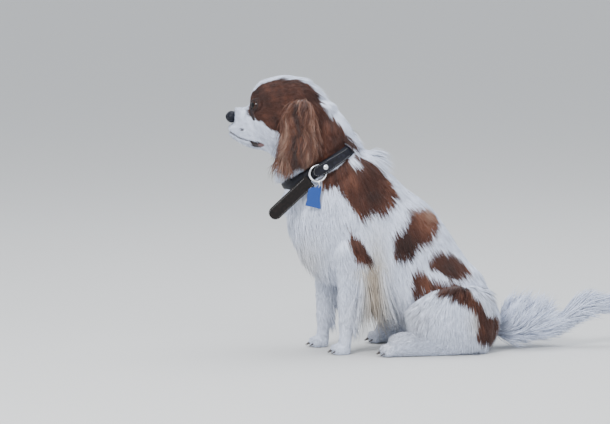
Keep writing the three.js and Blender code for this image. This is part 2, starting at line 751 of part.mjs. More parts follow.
// Long hair of the body and the tail
const neckForm = (grow) => solid(neckSections.body({ sides: 16, rings: 9, grow }));
const torsoForm = (grow) => solid(torsoSections.body({ sides: 18, rings: 18, grow }));
const chestLocks = coatLocks(torsoSections, {
  ...CHEST_LOCKS,
  seed: 31,
  aim: ({ out }) => ({
    lie: DOWN.clone().addScaledVector(out, 0.22),
    droop: point(0.16, 0, -1),
  }),
});
const withersLocks = coatLocks(torsoSections, {
  ...WITHERS_LOCKS,
  seed: 32,
  aim: ({ out }) => ({
    lie: point(1, 0, -0.3).addScaledVector(out, 0.3),
    droop: point(1, 0, -0.75),
  }),
});
const bellyLocks = coatLocks(torsoSections, {
  ...BELLY_LOCKS,
  seed: 33,
  aim: ({ out }) => ({
    lie: point(0.25, 0, -1).addScaledVector(out, 0.2),
    droop: point(0.2, 0, -1),
  }),
});
const tailAim = (rise) => ({ out, along }) => {
  const spread = out.clone().multiply(point(1, 0.45, 1)).multiplyScalar(rise);
  return {
    lie: along.clone().multiplyScalar(0.7).add(spread),
    droop: along.clone().addScaledVector(spread, 0.5),
  };
};
const tailPlume = [
  ...coatLocks(tailSections, { ...TAIL_PLUME, seed: 41, aim: tailAim(0.9) }),
  ...coatLocks(tailSections, { ...TAIL_TIP, seed: 50, aim: tailAim(0.4) }),
];

// The body's nodes, cut to meet with a little air
const aboveFloor = (made) => made.subtract(floorBlock);
const withLocks = (form, locks) => join([form, ...locks.map(solid)]);
const bothLegs = (form) => [form(-1, { grow: GAP }), form(1, { grow: GAP })];
const thighSpace = join(bothLegs(hindlegForm));
const legSpace = join([...bothLegs(forelegForm), thighSpace]);
const neck = largest(neckForm(0).subtract(headSpace).subtract(collarSpace));
const torsoWhole = withLocks(torsoForm(0), [...chestLocks, ...withersLocks, ...bellyLocks]);
const torso = largest(
  aboveFloor(torsoWhole.subtract(neckForm(GAP)).subtract(legSpace).subtract(collarSpace)),
);
const torsoSpace = torsoForm(GAP);
const foreleg = (side) => largest(aboveFloor(forelegForm(side)));
const hindleg = (side) => largest(aboveFloor(hindlegForm(side, { feathers: breechLocks })));
const tailWhole = withLocks(solid(tailSections.body({ sides: 12, rings: 14 })), tailPlume);
const tail = largest(aboveFloor(tailWhole.subtract(torsoSpace).subtract(thighSpace)));
const bodySpace = join([headSpace, neckForm(GAP)]);
const ear = (side) => {
  const flap = earSections.body({ sides: 14, rings: 12 });
  const placed = [flap, ...earFringe].map((one) =>
    solid(turnedHead(one.clone().scale(1, side, 1))),
  );
  return largest(join(placed).subtract(bodySpace).subtract(collarSpace));
};

// Hands one solid out as a named mesh
const model = new THREE.Group();
model.name = 'cavalier_sitting';
function put(name, made, colour, roughness, metalness = 0) {
  const { vertProperties, triVerts, numProp } = made.getMesh();
  const count = vertProperties.length / numProp;
  const positions = new Float32Array(count * 3);
  for (let i = 0; i < count; i += 1) {
    for (let axis = 0; axis < 3; axis += 1) {
      positions[3 * i + axis] = vertProperties[numProp * i + axis];
    }
  }
  const geometry = new THREE.BufferGeometry();
  geometry.setAttribute('position', new THREE.BufferAttribute(positions, 3));
  geometry.setIndex(new THREE.BufferAttribute(new Uint32Array(triVerts), 1));
  geometry.computeVertexNormals();
  const material = new THREE.MeshStandardMaterial({ color: colour, roughness, metalness });
  material.name = name;
  const mesh = new THREE.Mesh(geometry, material);
  mesh.name = name;
  model.add(mesh);
}

const WHITE = 0xdcdde8;
const CHESTNUT = 0x7b4a33;
const BLACK_LEATHER = 0x17161a;
put('head', head, WHITE, 0.85);
put('nose', nose, 0x14141a, 0.45);
put('eye_left', eyeLeft, 0x20120c, 0.12);
put('eye_right', eyeRight, 0x20120c, 0.12);
put('ear_left', ear(-1), CHESTNUT, 0.8);
put('ear_right', ear(1), CHESTNUT, 0.8);
put('neck', neck, CHESTNUT, 0.85);
put('torso', torso, WHITE, 0.85);
put('foreleg_left', foreleg(-1), WHITE, 0.85);
put('foreleg_right', foreleg(1), WHITE, 0.85);
put('hindleg_left', hindleg(-1), WHITE, 0.85);
put('hindleg_right', hindleg(1), WHITE, 0.85);
put('tail', tail, WHITE, 0.85);
const end = collarEndForm().subtract(rivetForm(GAP));
put('collar_band', collarBand(), BLACK_LEATHER, 0.5);
put('collar_end', largest(end), BLACK_LEATHER, 0.45);
put('collar_strap', largest(looseStrap().subtract(collarBand(GAP))), 0x2b211c, 0.6);
put('collar_keeper', keeperForm(), BLACK_LEATHER, 0.5);
put('collar_rivet', rivetForm(), 0xc9ccd2, 0.25, 1);
put('collar_ring', collarRing(), 0xc9ccd2, 0.2, 1);
put('tag_ring', tagRing(), 0xc9ccd2, 0.25, 1);
put('tag', tagPlate(), 0x2f6fc4, 0.35, 0.2);

export default model;
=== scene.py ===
# %% [markdown]
# A Cavalier King Charles spaniel sits on a plain floor, life size, as a museum would show it.
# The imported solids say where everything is. This script dresses them: one seamless skin lies a
# little inside the solids, and thousands of small tufts of hair grow out to their surface.
# Lengths in the tables are in millimetres, because that is how an animal is measured, and MM
# turns them into Blender's metres when a mesh is made.

import math

import bmesh
import bpy
import numpy as np
from mathutils import Matrix, Vector
from mathutils.bvhtree import BVHTree
from mathutils.kdtree import KDTree


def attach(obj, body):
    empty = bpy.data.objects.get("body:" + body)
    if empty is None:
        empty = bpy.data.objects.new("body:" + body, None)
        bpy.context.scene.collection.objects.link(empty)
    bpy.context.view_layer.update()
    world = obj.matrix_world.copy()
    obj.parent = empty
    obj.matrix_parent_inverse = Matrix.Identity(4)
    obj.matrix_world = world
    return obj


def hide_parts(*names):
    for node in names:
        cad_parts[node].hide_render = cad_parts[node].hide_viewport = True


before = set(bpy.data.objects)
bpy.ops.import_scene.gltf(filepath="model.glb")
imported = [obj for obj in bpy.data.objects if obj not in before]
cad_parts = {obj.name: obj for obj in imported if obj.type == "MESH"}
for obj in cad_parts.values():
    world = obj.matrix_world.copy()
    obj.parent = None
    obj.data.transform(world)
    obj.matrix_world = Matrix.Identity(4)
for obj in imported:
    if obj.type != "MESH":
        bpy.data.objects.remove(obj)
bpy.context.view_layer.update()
MM = 0.001
print("solids:", len(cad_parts))

# %% [markdown]
# The camera stands five metres away, a little in front of the dog's left side and six degrees
# above the level of its chest. It could stand nearer with a shorter lens, but then the legs would
# lean and the head would swell. A long lens from far keeps them as they are, as in a portrait.

# %% Camera
TARGET = Vector((-0.272, 0, 0.231))
CAMERA_FAR = 5  # metres
CAMERA_LENS = 179  # millimetres
CAMERA_TURN = math.radians(-6)
CAMERA_RISE = math.radians(6)
look_from = Vector(
    (
        math.sin(CAMERA_TURN) * math.cos(CAMERA_RISE),
        -math.cos(CAMERA_TURN) * math.cos(CAMERA_RISE),
        math.sin(CAMERA_RISE),
    )
)
camera = bpy.data.objects.new("Camera", bpy.data.cameras.new("Camera"))
bpy.context.scene.collection.objects.link(camera)
camera.location = TARGET + CAMERA_FAR * look_from
camera.rotation_euler = look_from.to_track_quat("Z", "Y").to_euler()
camera.data.lens = CAMERA_LENS
camera.data.clip_end = 200
bpy.context.scene.camera = camera
print("camera at", [round(v, 3) for v in camera.location])

# %% [markdown]
# Hair needs soft light: a small hard lamp would make every tuft throw its own black shadow. Three
# wide panels and a pale sky do this, with the strongest panel on the camera's side.

# %% Light
LIT_PLACE = Vector((-0.15, 0, 0.2))


def panel(name, place, size, power, warmth=(1, 1, 1)):
    """A soft square lamp that looks at the dog."""
    lamp = bpy.data.lights.new(name, "AREA")
    lamp.size = size
    lamp.energy = power
    lamp.color = warmth
    lamp_object = bpy.data.objects.new(name, lamp)
    lamp_object.location = place
    away = Vector(place) - LIT_PLACE
    lamp_object.rotation_euler = away.to_track_quat("Z", "Y").to_euler()
    bpy.context.scene.collection.objects.link(lamp_object)


panel("Key", (-1.5, -2.2, 2.1), 1.0, 92)
panel("Top", (0.3, 0.4, 2.8), 2.0, 52, (0.93, 0.96, 1))
panel("Fill", (1.6, -2.4, 1.2), 2.2, 28, (0.93, 0.96, 1))
world = bpy.data.worlds.new("Studio")
bpy.context.scene.world = world
world.use_nodes = True
sky = world.node_tree.nodes["Background"]
sky.inputs["Color"].default_value = (0.9, 0.94, 1, 1)
sky.inputs["Strength"].default_value = 1.0
print("lamps:", len(bpy.data.lights))

# %% [markdown]
# The floor is a plain pale sheet. It is large, so that it fills the view to its far edge.

# %% Floor
floor_mesh = bmesh.new()
bmesh.ops.create_grid(floor_mesh, x_segments=4, y_segments=4, size=40)
floor_data = bpy.data.meshes.new("floor")
floor_mesh.to_mesh(floor_data)
floor_mesh.free()
floor = bpy.data.objects.new("floor", floor_data)
bpy.context.scene.collection.objects.link(floor)
floor_paint = bpy.data.materials.new("pale floor")
floor_paint.use_nodes = True
floor_shader = floor_paint.node_tree.nodes["Principled BSDF"]
floor_shader.inputs["Base Color"].default_value = (0.68, 0.68, 0.67, 1)
floor_shader.inputs["Roughness"].default_value = 0.8
floor_data.materials.append(floor_paint)
print("floor:", len(floor_data.polygons), "faces")

# %% [markdown]
# A body could be sculpted by hand, but then nothing about it could be measured or changed later.
# Here it is measured as the solids are: ovals one after another, each with a top point, a low
# point and a half width, and smooth curves between them. A sphere's rings are laid on the ovals,
# which gives a closed form. Each form is made smaller by the depth of its coat, so that the hair
# has room to reach the solids' surface.


# %% Ovals and the curves through them
def row(top_x, top_z, low_x, low_z, half, y=0, pear=0, square=0, bow=0):
    """One oval: its top and low points, its half width, and what bends it."""
    return [top_x, top_z, low_x, low_z, half, y, pear, square, bow]


def through(rows, share):
    """Points on the smooth curve through rows, at shares of its length from 0 to 1."""
    rows = np.asarray(rows, float)
    last = len(rows) - 1
    place = np.clip(share, 0, 1) * last
    start = np.minimum(place.astype(int), last - 1)
    t = (place - start)[:, None]
    ends = np.vstack([2 * rows[0] - rows[1], rows, 2 * rows[-1] - rows[-2]])
    before, here, there, after = (ends[start + k] for k in range(4))
    leave, arrive = (there - before) / 2, (after - here) / 2
    bend = -3 * here + 3 * there - 2 * leave - arrive
    close = 2 * here - 2 * there + leave + arrive
    return here + leave * t + bend * t**2 + close * t**3


def on_form(rows, share, turn, depth):
    """Points at shares along a form and turns round it, depth millimetres under its surface."""
    top_x, top_z, low_x, low_z, half, y, pear, square, bow = through(rows, share).T
    from_end = np.minimum(share, 1 - share) * (len(rows) - 1)
    dome = np.sqrt(np.clip(1 - np.clip(1 - from_end, 0, 1) ** 2, 0, 1))
    run = np.stack([low_x - top_x, 0 * y, low_z - top_z], 1)
    length = np.linalg.norm(run, axis=1)
    power = 1 - 0.6 * square
    along = np.sign(np.cos(turn)) * np.abs(np.cos(turn)) ** power
    side = np.sign(np.sin(turn)) * np.abs(np.sin(turn)) ** power * (1 + pear * along)
    made = np.stack([(top_x + low_x) / 2, y, (top_z + low_z) / 2], 1)
    step = np.where(share < 0.5, 0.02, -0.02)
    inner = through(rows, share + step)
    inner = np.stack([(inner[:, 0] + inner[:, 2]) / 2, inner[:, 5], (inner[:, 1] + inner[:, 3]) / 2], 1)
    outward = made - inner
    outward /= np.linalg.norm(outward, axis=1)[:, None]
    made = made - outward * (depth * np.clip(1 - from_end, 0, 1))[:, None]
    reach = np.maximum(length / 2 - depth, 1) * dome * along
    made = made + run / length[:, None] * reach[:, None]
    made[:, 1] += side * np.maximum(half - depth, 1) * dome + bow * (1 - along**2) * dome
    return made


def form(rows, depth, around=40, rings=40):
    """A closed bmesh over the ovals. depth is one number, or one for each oval."""
    made = bmesh.new()
    bmesh.ops.create_uvsphere(made, u_segments=around, v_segments=rings, radius=1)
    unit = np.array([v.co for v in made.verts])
    share = np.arccos(np.clip(unit[:, 2], -1, 1)) / np.pi
    turn = np.arctan2(unit[:, 1], unit[:, 0])
    depths = np.broadcast_to(np.asarray(depth, float), len(rows))
    under = np.interp(share, np.linspace(0, 1, len(rows)), depths)
    for vertex, place in zip(made.verts, on_form(rows, share, turn, under)):
        vertex.co = place
    bmesh.ops.recalc_face_normals(made, faces=made.faces)
    return made


# %% [markdown]
# The head looks nine degrees to the dog's right, so it is measured straight and then turned
# about an upright axis behind the jaw. The ears turn with it.

# %% Turning the head
HEAD_TURN = math.radians(-9)
HEAD_PIVOT = np.array([-262.0, 0.0, 0.0])


def turned(points, back=False):
    """Points of the straight head, turned with it, or turned back."""
    angle = -HEAD_TURN if back else HEAD_TURN
    cos, sin = math.cos(angle), math.sin(angle)
    rotate = np.array([[cos, -sin, 0], [sin, cos, 0], [0, 0, 1]])
    return (np.asarray(points, float) - HEAD_PIVOT) @ rotate.T + HEAD_PIVOT


print("the tip of the nose turns to", turned([-401, 0, 388]).round(1))

# %% [markdown]
# These tables are the same ones that the solids were made from. A spaniel of this breed has a
# short square muzzle, a clear stop, a rounded skull, long ears set high, a deep chest and a
# back that slopes to the floor when it sits.

# %% The forms of the body
HEAD = [
    row(-398, 396, -397, 367, 15),
    row(-391, 401, -391, 354, 21, square=0.35, pear=-0.12),
    row(-381, 404, -380, 345, 24, square=0.35, pear=-0.18),
    row(-371, 405, -366, 338, 26, square=0.3, pear=-0.2),
    row(-363, 410, -355, 335, 30, square=0.2, pear=-0.12),
    row(-360, 429, -345, 333, 38, square=0.1, pear=0.05),
    row(-348, 446, -333, 330, 45, pear=0.1),
    row(-330, 454, -317, 327, 49, pear=0.12),
    row(-305, 458, -297, 323, 51, pear=0.12),
    row(-280, 454, -274, 323, 50, pear=0.1),
    row(-262, 444, -256, 328, 44),
    row(-249, 427, -244, 340, 34),
    row(-239, 408, -238, 358, 18),
]
NECK = [
    row(-244, 428, -327, 339, 38),
    row(-225, 415, -320, 327, 42),
    row(-209, 397, -317, 307, 45),
    row(-197, 372, -314, 288, 48),
    row(-188, 346, -310, 267, 52),
    row(-170, 335, -312, 248, 57),
    row(-150, 327, -306, 233, 58),
]
TORSO = [
    row(-190, 341, -310, 267, 42),
    row(-176, 336, -308, 245, 54),
    row(-158, 331, -304, 220, 61),
    row(-140, 310, -297, 193, 67),
    row(-119, 290, -284, 166, 70),
    row(-96, 271, -260, 138, 70),
    row(-66, 248, -222, 120, 70),
    row(-40, 216, -184, 103, 70),
    row(-18, 183, -150, 84, 70, pear=0.05),
    row(0, 157, -120, 56, 72, pear=0.05),
    row(20, 135, -92, 16, 74, pear=0.08),
    row(36, 106, -50, -8, 74, pear=0.1),
    row(47, 77, 0, -12, 68),
    row(54, 49.8, 38, -4, 44),
]
EAR = [
    row(-290, 426, -266, 426, 3, y=42),
    row(-302, 416, -253, 416, 6, y=49, bow=4),
    row(-311, 399, -247, 397, 7.5, y=52, bow=8),
    row(-313, 376, -244, 373, 8, y=52, bow=9),
    row(-312, 353, -246, 350, 7.5, y=52, bow=8),
    row(-309, 335, -254, 333, 5.5, y=51, bow=5),
    row(-303, 322, -264, 321, 3, y=50, bow=2),
]
LEG_SPREAD = 44
FORELEG = [
    row(-234, 205, -168, 217, 18, y=LEG_SPREAD),
    row(-235, 187, -162, 193, 22, y=LEG_SPREAD + 3),
    row(-232, 165, -160, 168, 22, y=LEG_SPREAD + 3),
    row(-229, 143, -164, 143, 19, y=LEG_SPREAD + 2),
    row(-226, 117, -176, 115, 15.5, y=LEG_SPREAD + 1),
    row(-225, 90, -186, 87, 13, y=LEG_SPREAD),
    row(-223, 60, -194, 59, 11.5, y=LEG_SPREAD),
    row(-221, 36, -198, 36, 11.5, y=LEG_SPREAD),
    row(-223, 20, -199, 20, 13, y=LEG_SPREAD),
    row(-226, 6, -200, 5, 14.5, y=LEG_SPREAD),
    row(-224, -9, -202, -9, 13, y=LEG_SPREAD),
]
THIGH = [
    row(40, 93, 34, 19.5, 16, y=50),
    row(26, 109, 20, -2, 25, y=56),
    row(0, 118, -6, -6, 30, y=62),
    row(-32, 119, -32, -6, 32, y=65),
    row(-60, 113, -56, 0, 32, y=66),
    row(-84, 103, -80, 10.8, 30, y=66),
    row(-104, 87, -98, 23.8, 24, y=66),
    row(-117, 69, -112, 36.8, 14, y=66),
]
HINDFOOT = [
    row(-14, 24, -14, 3, 10, y=72),
    row(-30, 33, -30, -3, 14, y=73),
    row(-60, 38, -60, -4, 15.5, y=75),
    row(-90, 42, -90, -4, 17, y=77),
    row(-116, 43, -116, -4, 18.5, y=78),
    row(-138, 36, -137, -4, 18, y=78),
    row(-149, 20, -147, 2, 12, y=78),
]
TAIL = [
    row(28, 60, 28, 20, 14),
    row(44, 58, 42, 15, 18),
    row(66, 60, 64, 10, 23),
    row(96, 60, 94, 9, 24),
    row(124, 57, 126, 13, 21),
    row(148, 58, 152, 23, 17),
    row(170, 75, 178, 38, 18),
    row(192, 84, 199, 49, 18),
    row(214, 86, 217, 52, 16),
    row(236, 83, 236, 58, 12),
    row(250, 78, 249, 64, 6),
]
# Toes: middle x, y, z, then half length, half width and half height
FORE_TOES = [
    (-221, LEG_SPREAD - 11.5, 8, 9, 5.2, 8.5),
    (-225, LEG_SPREAD - 4.4, 9, 10, 5.6, 9.5),
    (-225, LEG_SPREAD + 4.4, 9, 10, 5.6, 9.5),
    (-221, LEG_SPREAD + 11.5, 8, 9, 5.2, 8.5),
]
HIND_TOES = [
    (-143, 66.5, 9, 10, 5.6, 10),
    (-148, 74, 10.5, 11, 6, 11.5),
    (-148, 82, 10.5, 11, 6, 11.5),
    (-143, 89.5, 9, 10, 5.6, 10),
]
FAR_LEG_STEP = -27  # the right foreleg stands this much further forward
body_tables = (HEAD, NECK, TORSO, EAR, FORELEG, THIGH, HINDFOOT, TAIL)
print("ovals:", sum(len(table) for table in body_tables))

# %% [markdown]
# Each form becomes a zone of the skin, with its own way of wearing hair. The depth beside each
# is how deep its coat is: one to four millimetres on the face and the paws, up to nine on the
# body, and more on the tail, where only a thin core lies inside a wide plume. A helper puts each
# form on its side of the body, so that both sides are measured once.


# %% Build the forms
def placed(made, side=1, step=0, head=False):
    """A form moved to its side of the body, as an array of places with its faces."""
    places = np.array([v.co for v in made.verts])
    faces = [[v.index for v in face.verts] for face in made.faces]
    made.free()
    places = (places + [step, 0, 0]) * [1, side, 1]
    if side < 0:
        faces = [face[::-1] for face in faces]
    return (turned(places) if head else places), faces


def toe(x, y, z, long, wide, high):
    """A rounded toe, a millimetre smaller than the solid's."""
    made = bmesh.new()
    bmesh.ops.create_uvsphere(made, u_segments=16, v_segments=12, radius=1)
    bmesh.ops.scale(made, vec=(long - 1.5, wide - 0.6, high - 1), verts=made.verts)
    bmesh.ops.translate(made, vec=(x, y, z), verts=made.verts)
    return made


zones = {
    "head": placed(form(HEAD, [1, 1, 1.2, 1.5, 2, 2.4, 2.6, 3, 3, 3.5, 4, 4, 4], 72, 72), head=True),
    "neck": placed(form(NECK, [6, 6, 6, 5, 4.5, 5, 6])),
    "neck_nape": placed(toe(-245, 0, 406, 18, 34, 13.5)),
    "torso": placed(form(TORSO, [5, 6, 7, 9, 9, 9, 9, 8, 8, 8, 8, 8, 6, 5], 48, 48)),
    "tail": placed(form(TAIL, [6, 9, 13, 14, 13, 11, 11, 11, 10, 8, 4])),
}
for side, hand in ((-1, "left"), (1, "right")):
    step = FAR_LEG_STEP if side > 0 else 0
    zones["ear_" + hand] = placed(form(EAR, [2, 3.5, 4.6, 5, 4.6, 3.2, 1.5]), side, head=True)
    zones["foreleg_" + hand] = placed(form(FORELEG, [5, 5, 4.5, 4, 3, 2.6, 2.2, 2, 2, 2, 2]), side, step)
    zones["thigh_" + hand] = placed(form(THIGH, 7), side)
    zones["hindfoot_" + hand] = placed(form(HINDFOOT, 3), side)
    for kind, rows in (("fore", FORE_TOES), ("hind", HIND_TOES)):
        for number, size in enumerate(rows):
            shift = step if kind == "fore" else 0
            zones[f"{kind}toe_{hand}_{number}"] = placed(toe(*size), side, shift)
print("forms:", len(zones))

# %% [markdown]
# Flesh has no seams, so the forms can't stay separate pieces. They could be joined by booleans,
# but a boolean leaves uneven faces and a sharp crease at each join. Here they are put in one mesh
# and remeshed with voxels, which keeps only the outer surface, in even faces.

# %% One seamless skin
VOXEL = 2.6


def joined(pieces):
    """Several forms as one array of places and one list of faces."""
    all_places, all_faces, first = [], [], 0
    for places, faces in pieces:
        all_places.append(places)
        all_faces.extend([[first + i for i in face] for face in faces])
        first += len(places)
    return np.vstack(all_places), all_faces


places, faces = joined(zones.values())
rough = bpy.data.meshes.new("rough")
rough.from_pydata(places.tolist(), [], faces)
rough_object = bpy.data.objects.new("rough", rough)
bpy.context.scene.collection.objects.link(rough_object)
remesh = rough_object.modifiers.new("One surface", "REMESH")
remesh.mode = "VOXEL"
remesh.voxel_size = VOXEL
whole = bpy.data.meshes.new_from_object(
    rough_object.evaluated_get(bpy.context.evaluated_depsgraph_get())
)
bpy.data.objects.remove(rough_object)
flesh = bmesh.new()
flesh.from_mesh(whole)
print("remeshed:", len(flesh.verts), "vertices")

# %% [markdown]
# Where two forms met there is still a crease. Each vertex is moved toward the middle of its
# neighbours, a few times everywhere, and more often over the trunk, at the roots of the ears, on
# the nape and on the shoulders, where muscle and loose skin hide every join.


# %% Relax the creases
def relax(part, times):
    """Moves each vertex of this part of the skin toward the middle of its neighbours."""
    for _ in range(times):
        bmesh.ops.smooth_vert(
            flesh, verts=part, factor=0.5, use_axis_x=True, use_axis_y=True, use_axis_z=True
        )


relax(flesh.verts, 3)
relax([v for v in flesh.verts if 60 < v.co.z < 330 or v.co.x > -60], 12)
ear_roots = [v for v in flesh.verts if -326 < v.co.x < -236 and 392 < v.co.z < 436 and abs(v.co.y) > 30]
nape = [v for v in flesh.verts if v.co.x > -276 and v.co.z > 378 and abs(v.co.y) < 40]
shoulders = [v for v in flesh.verts if v.co.x < -170 and 150 < v.co.z < 232 and abs(v.co.y) > 40]
for part, times in ((ear_roots, 16), (nape, 32), (shoulders, 16)):
    relax(part, times)
print("relaxed:", len(ear_roots), len(nape), len(shoulders), "vertices at ears, nape and shoulders")

# %% [markdown]
# The face needs finer faces than the flank, because its lids and lips are only a few
# millimetres across, so its part of the skin is divided once more.

# %% Divide the face
face_edges = [e for e in flesh.edges if e.verts[0].co.x < -318 and e.verts[0].co.z > 326]
bmesh.ops.subdivide_edges(flesh, edges=face_edges, cuts=1, use_grid_fill=True)
flesh.verts.ensure_lookup_table()
relax([v for v in flesh.verts if v.co.x < -316 and v.co.z > 324], 2)
skin_places = np.array([v.co for v in flesh.verts])
flesh.normal_update()
skin_out = np.array([v.normal for v in flesh.verts])
print("skin:", len(flesh.verts), "vertices with the finer face")

# %% [markdown]
# Lids, lips and whisker pads could be sculpted with a brush. Here rules move them out of the
# smooth skin, so that both sides match and each can be changed by one number. Two helpers do most
# of the work: an S curve that lets a change fade out softly, and the distance from a drawn line.


# %% Helpers for soft changes
def smooth(value):
    """0 below 0, 1 above 1 and an even S between."""
    t = np.clip(value, 0, 1)
    return t * t * (3 - 2 * t)


def to_line(points, line):
    """Distance of points in a plane from a line of several corners, and how far along it."""
    best = np.full(len(points), 1e9)
    where = np.zeros(len(points))
    for i, (a, b) in enumerate(zip(line[:-1], line[1:])):
        run = b - a
        t = np.clip(((points - a) @ run) / (run @ run), 0, 1)
        gap = np.linalg.norm(points - a - t[:, None] * run, axis=1)
        closer = gap < best
        best = np.where(closer, gap, best)
        where = np.where(closer, (i + t) / (len(line) - 1), where)
    return best, where


face = turned(skin_places, back=True)
face_out = turned(skin_out + HEAD_PIVOT, back=True) - HEAD_PIVOT
is_head = (face[:, 0] < -300) & (face[:, 2] > 320)
print("face:", int(is_head.sum()), "vertices")

# %% [markdown]
# Round each eye the skin is drawn onto the eyeball's surface. Outside an almond-shaped opening it
# lies on the ball as a lid, with a fold a little further out, and inside the opening it drops
# behind the ball. Angles are measured at the ball's centre, away from the way the eye looks.

# %% Lids
EYE_RADIUS = 11
EYE = np.array([-348, 29.5, 408.6])
EYE_LOOK = np.array([-0.76, 0.64, 0.08])
EYE_LOOK /= np.linalg.norm(EYE_LOOK)
OPENING = 41  # degrees from the middle of the eye to the rim of a lid
CORNER = 9  # how many degrees further the opening reaches at its corners
RIM = 5  # skin nearer than this many degrees to the opening's edge is drawn onto the edge
LID = 32  # degrees over which a lid flows into the face
LID_THICK = 1.3
BEHIND_BALL = 3.5  # how far the skin drops under the ball's surface
bare = np.zeros(len(face))  # dark bare skin: rims of the lids and lips
for side in (-1, 1):
    centre = EYE * [1, side, 1]
    look = EYE_LOOK * [1, side, 1]
    up = np.array([0, 0, 1.0]) - look * look[2]
    up /= np.linalg.norm(up)
    across = np.cross(look, up) * side  # toward the outer corner
    offset = face - centre
    far = np.linalg.norm(offset, axis=1)
    tilt = np.degrees(np.arccos(np.clip(offset @ look / np.maximum(far, 1e-6), -1, 1)))
    turn = np.arctan2(offset @ up, offset @ across)
    edge = OPENING + CORNER * np.cos(turn) ** 2 + 2 * np.sin(turn)
    near = is_head & (tilt < 100) & (far < 40)
    new_tilt = np.where(near & (np.abs(tilt - edge) < RIM), edge, tilt)
    inside = near & (tilt < edge - RIM)
    lid = smooth(1 - (new_tilt - edge) / LID)
    fold = 1.1 * np.exp(-(((new_tilt - edge - 17) / 4.5) ** 2)) * (np.sin(turn) > -0.2)
    swell = 1.2 * np.exp(-(((new_tilt - edge - 7) / 6) ** 2))
    on_ball = EYE_RADIUS + LID_THICK + swell - fold
    reach = np.where(new_tilt < 95, far * (1 - lid) + on_ball * lid, far)
    reach = np.maximum(reach, EYE_RADIUS + 0.7)
    reach = np.where(inside, EYE_RADIUS - BEHIND_BALL, reach)
    around = offset - (offset @ look)[:, None] * look
    around /= np.maximum(np.linalg.norm(around, axis=1), 1e-6)[:, None]
    t = np.radians(new_tilt)
    moved = centre + reach[:, None] * (np.cos(t)[:, None] * look + np.sin(t)[:, None] * around)
    face = np.where(near[:, None], moved, face)
    bare = np.maximum(bare, near * smooth(1 - (tilt - edge - 1) / 10) * (tilt > edge - 9))
    bare = np.maximum(bare, inside * 1.0)
    print("eye opening:", int(inside.sum()), "vertices")

# %% [markdown]
# The mouth is a groove along its line, with a soft lip on either side. Near its corner the lips
# hang loose, dark and bare, and show a little pink. A mole on the left pad and the track under
# the inner corner of each eye are dark bare skin too.

# %% Mouth and lips
MOUTH = np.array([[-406, 372], [-393, 364.5], [-382, 355.5], [-369, 351.2], [-353, 349], [-341, 347.5]])
TEAR_TRACK = np.array([[-359, 404], [-359.5, 398], [-356.5, 390], [-354, 386]])
MOLE = [-375.5, -23.5, 368.5]
from_mouth, along_mouth = to_line(face[:, [0, 2]], MOUTH)
muzzle = is_head & (face[:, 0] < -332) & (face_out[:, 2] > -0.98) & (np.abs(face[:, 1]) > 1)
groove = -2.4 * np.exp(-((from_mouth / 1.5) ** 2))
lips = 1.3 * np.exp(-(((from_mouth - 3.2) / 2.4) ** 2))
fade = smooth((1.02 - along_mouth) / 0.12)
face += face_out * ((groove + lips) * fade * muzzle)[:, None]
lip_spot = np.hypot((face[:, 0] + 351) / 13, (face[:, 2] - 345 + 0.1 * (face[:, 0] + 351)) / 7)
lip_spot += 0.12 * np.sin(face[:, 0] * 1.3) * np.sin(face[:, 2] * 1.1)
bare = np.maximum(bare, muzzle * smooth((1.1 - lip_spot) / 0.3))
pink_spot = np.hypot((face[:, 0] + 342.5) / 5.6, (face[:, 2] - 343.2) / 3.2)
pink = muzzle * smooth((1.15 - pink_spot) / 0.35)
bare = np.maximum(bare, muzzle * 0.8 * smooth((2.5 - from_mouth) / 1.4) * (along_mouth < 0.98))
mole = np.linalg.norm((face - MOLE) / [1.3, 1, 0.8], axis=1)
bare = np.maximum(bare, 0.9 * smooth((4.6 - mole) / 1.6) * is_head)
from_track, _ = to_line(face[:, [0, 2]], TEAR_TRACK)
bare = np.maximum(bare, is_head * smooth((np.abs(face[:, 1]) - 17) / 4) * smooth((3.6 - from_track) / 1.8))
print("bare skin:", int((bare > 0.5).sum()), "vertices")

# %% [markdown]
# Seen from the front, the muzzle ends in the nose. At the nose's level the skin is as narrow as
# the leather and stays behind its face. Below it the lips stand a little forward, the whisker
# pads swell on both sides, and a groove runs down between them.

# %% Muzzle
FLOOR_GAP = 0.6  # the skin that rests on the floor is flat, this far above it
level = smooth((face[:, 2] - 372) / 8) * (is_head & (face[:, 0] < -372))
limit = 6.5 + 18 * smooth((face[:, 0] + 391) / 18)
wide = np.maximum(np.abs(face[:, 1]) - limit, 0)
face[:, 1] -= np.sign(face[:, 1]) * wide * level * 0.92
face[:, 0] += level * np.maximum(-386.8 - face[:, 0], 0) * 0.95
front_lip = np.exp(-(((face[:, 2] - 362) / 11) ** 2)) * smooth((-382 - face[:, 0]) / 14) * is_head
face[:, 0] -= 2.4 * front_lip
pad = np.linalg.norm((face - [-384, 0, 371]) / [13, 22, 12], axis=1)
face[:, 1] += np.sign(face[:, 1]) * 1.6 * np.exp(-((pad - 0.9) ** 2) / 0.12) * is_head
middle = np.exp(-((face[:, 1] / 1.2) ** 2)) * (face[:, 0] < -388) * (np.abs(face[:, 2] - 372) < 10)
face[:, 0] += 1.6 * middle
skin_places = np.where(is_head[:, None], turned(face), skin_places)
skin_places[:, 2] = np.maximum(skin_places[:, 2], FLOOR_GAP)
for vertex, place in zip(flesh.verts, skin_places):
    vertex.co = place
print("foremost skin:", round(skin_places[:, 0].min(), 1), "millimetres")

# %% [markdown]
# Hair could be combed with brushes, but the result couldn't be read or changed as numbers. Here
# the lie of the coat is a table of places. Each line holds a place on the body, the way that hair
# lies there, its length, how steeply it stands and how wide one tuft is. A place between the
# lines takes a mix of the nearest ones. y counts outwards, so each line serves both sides.

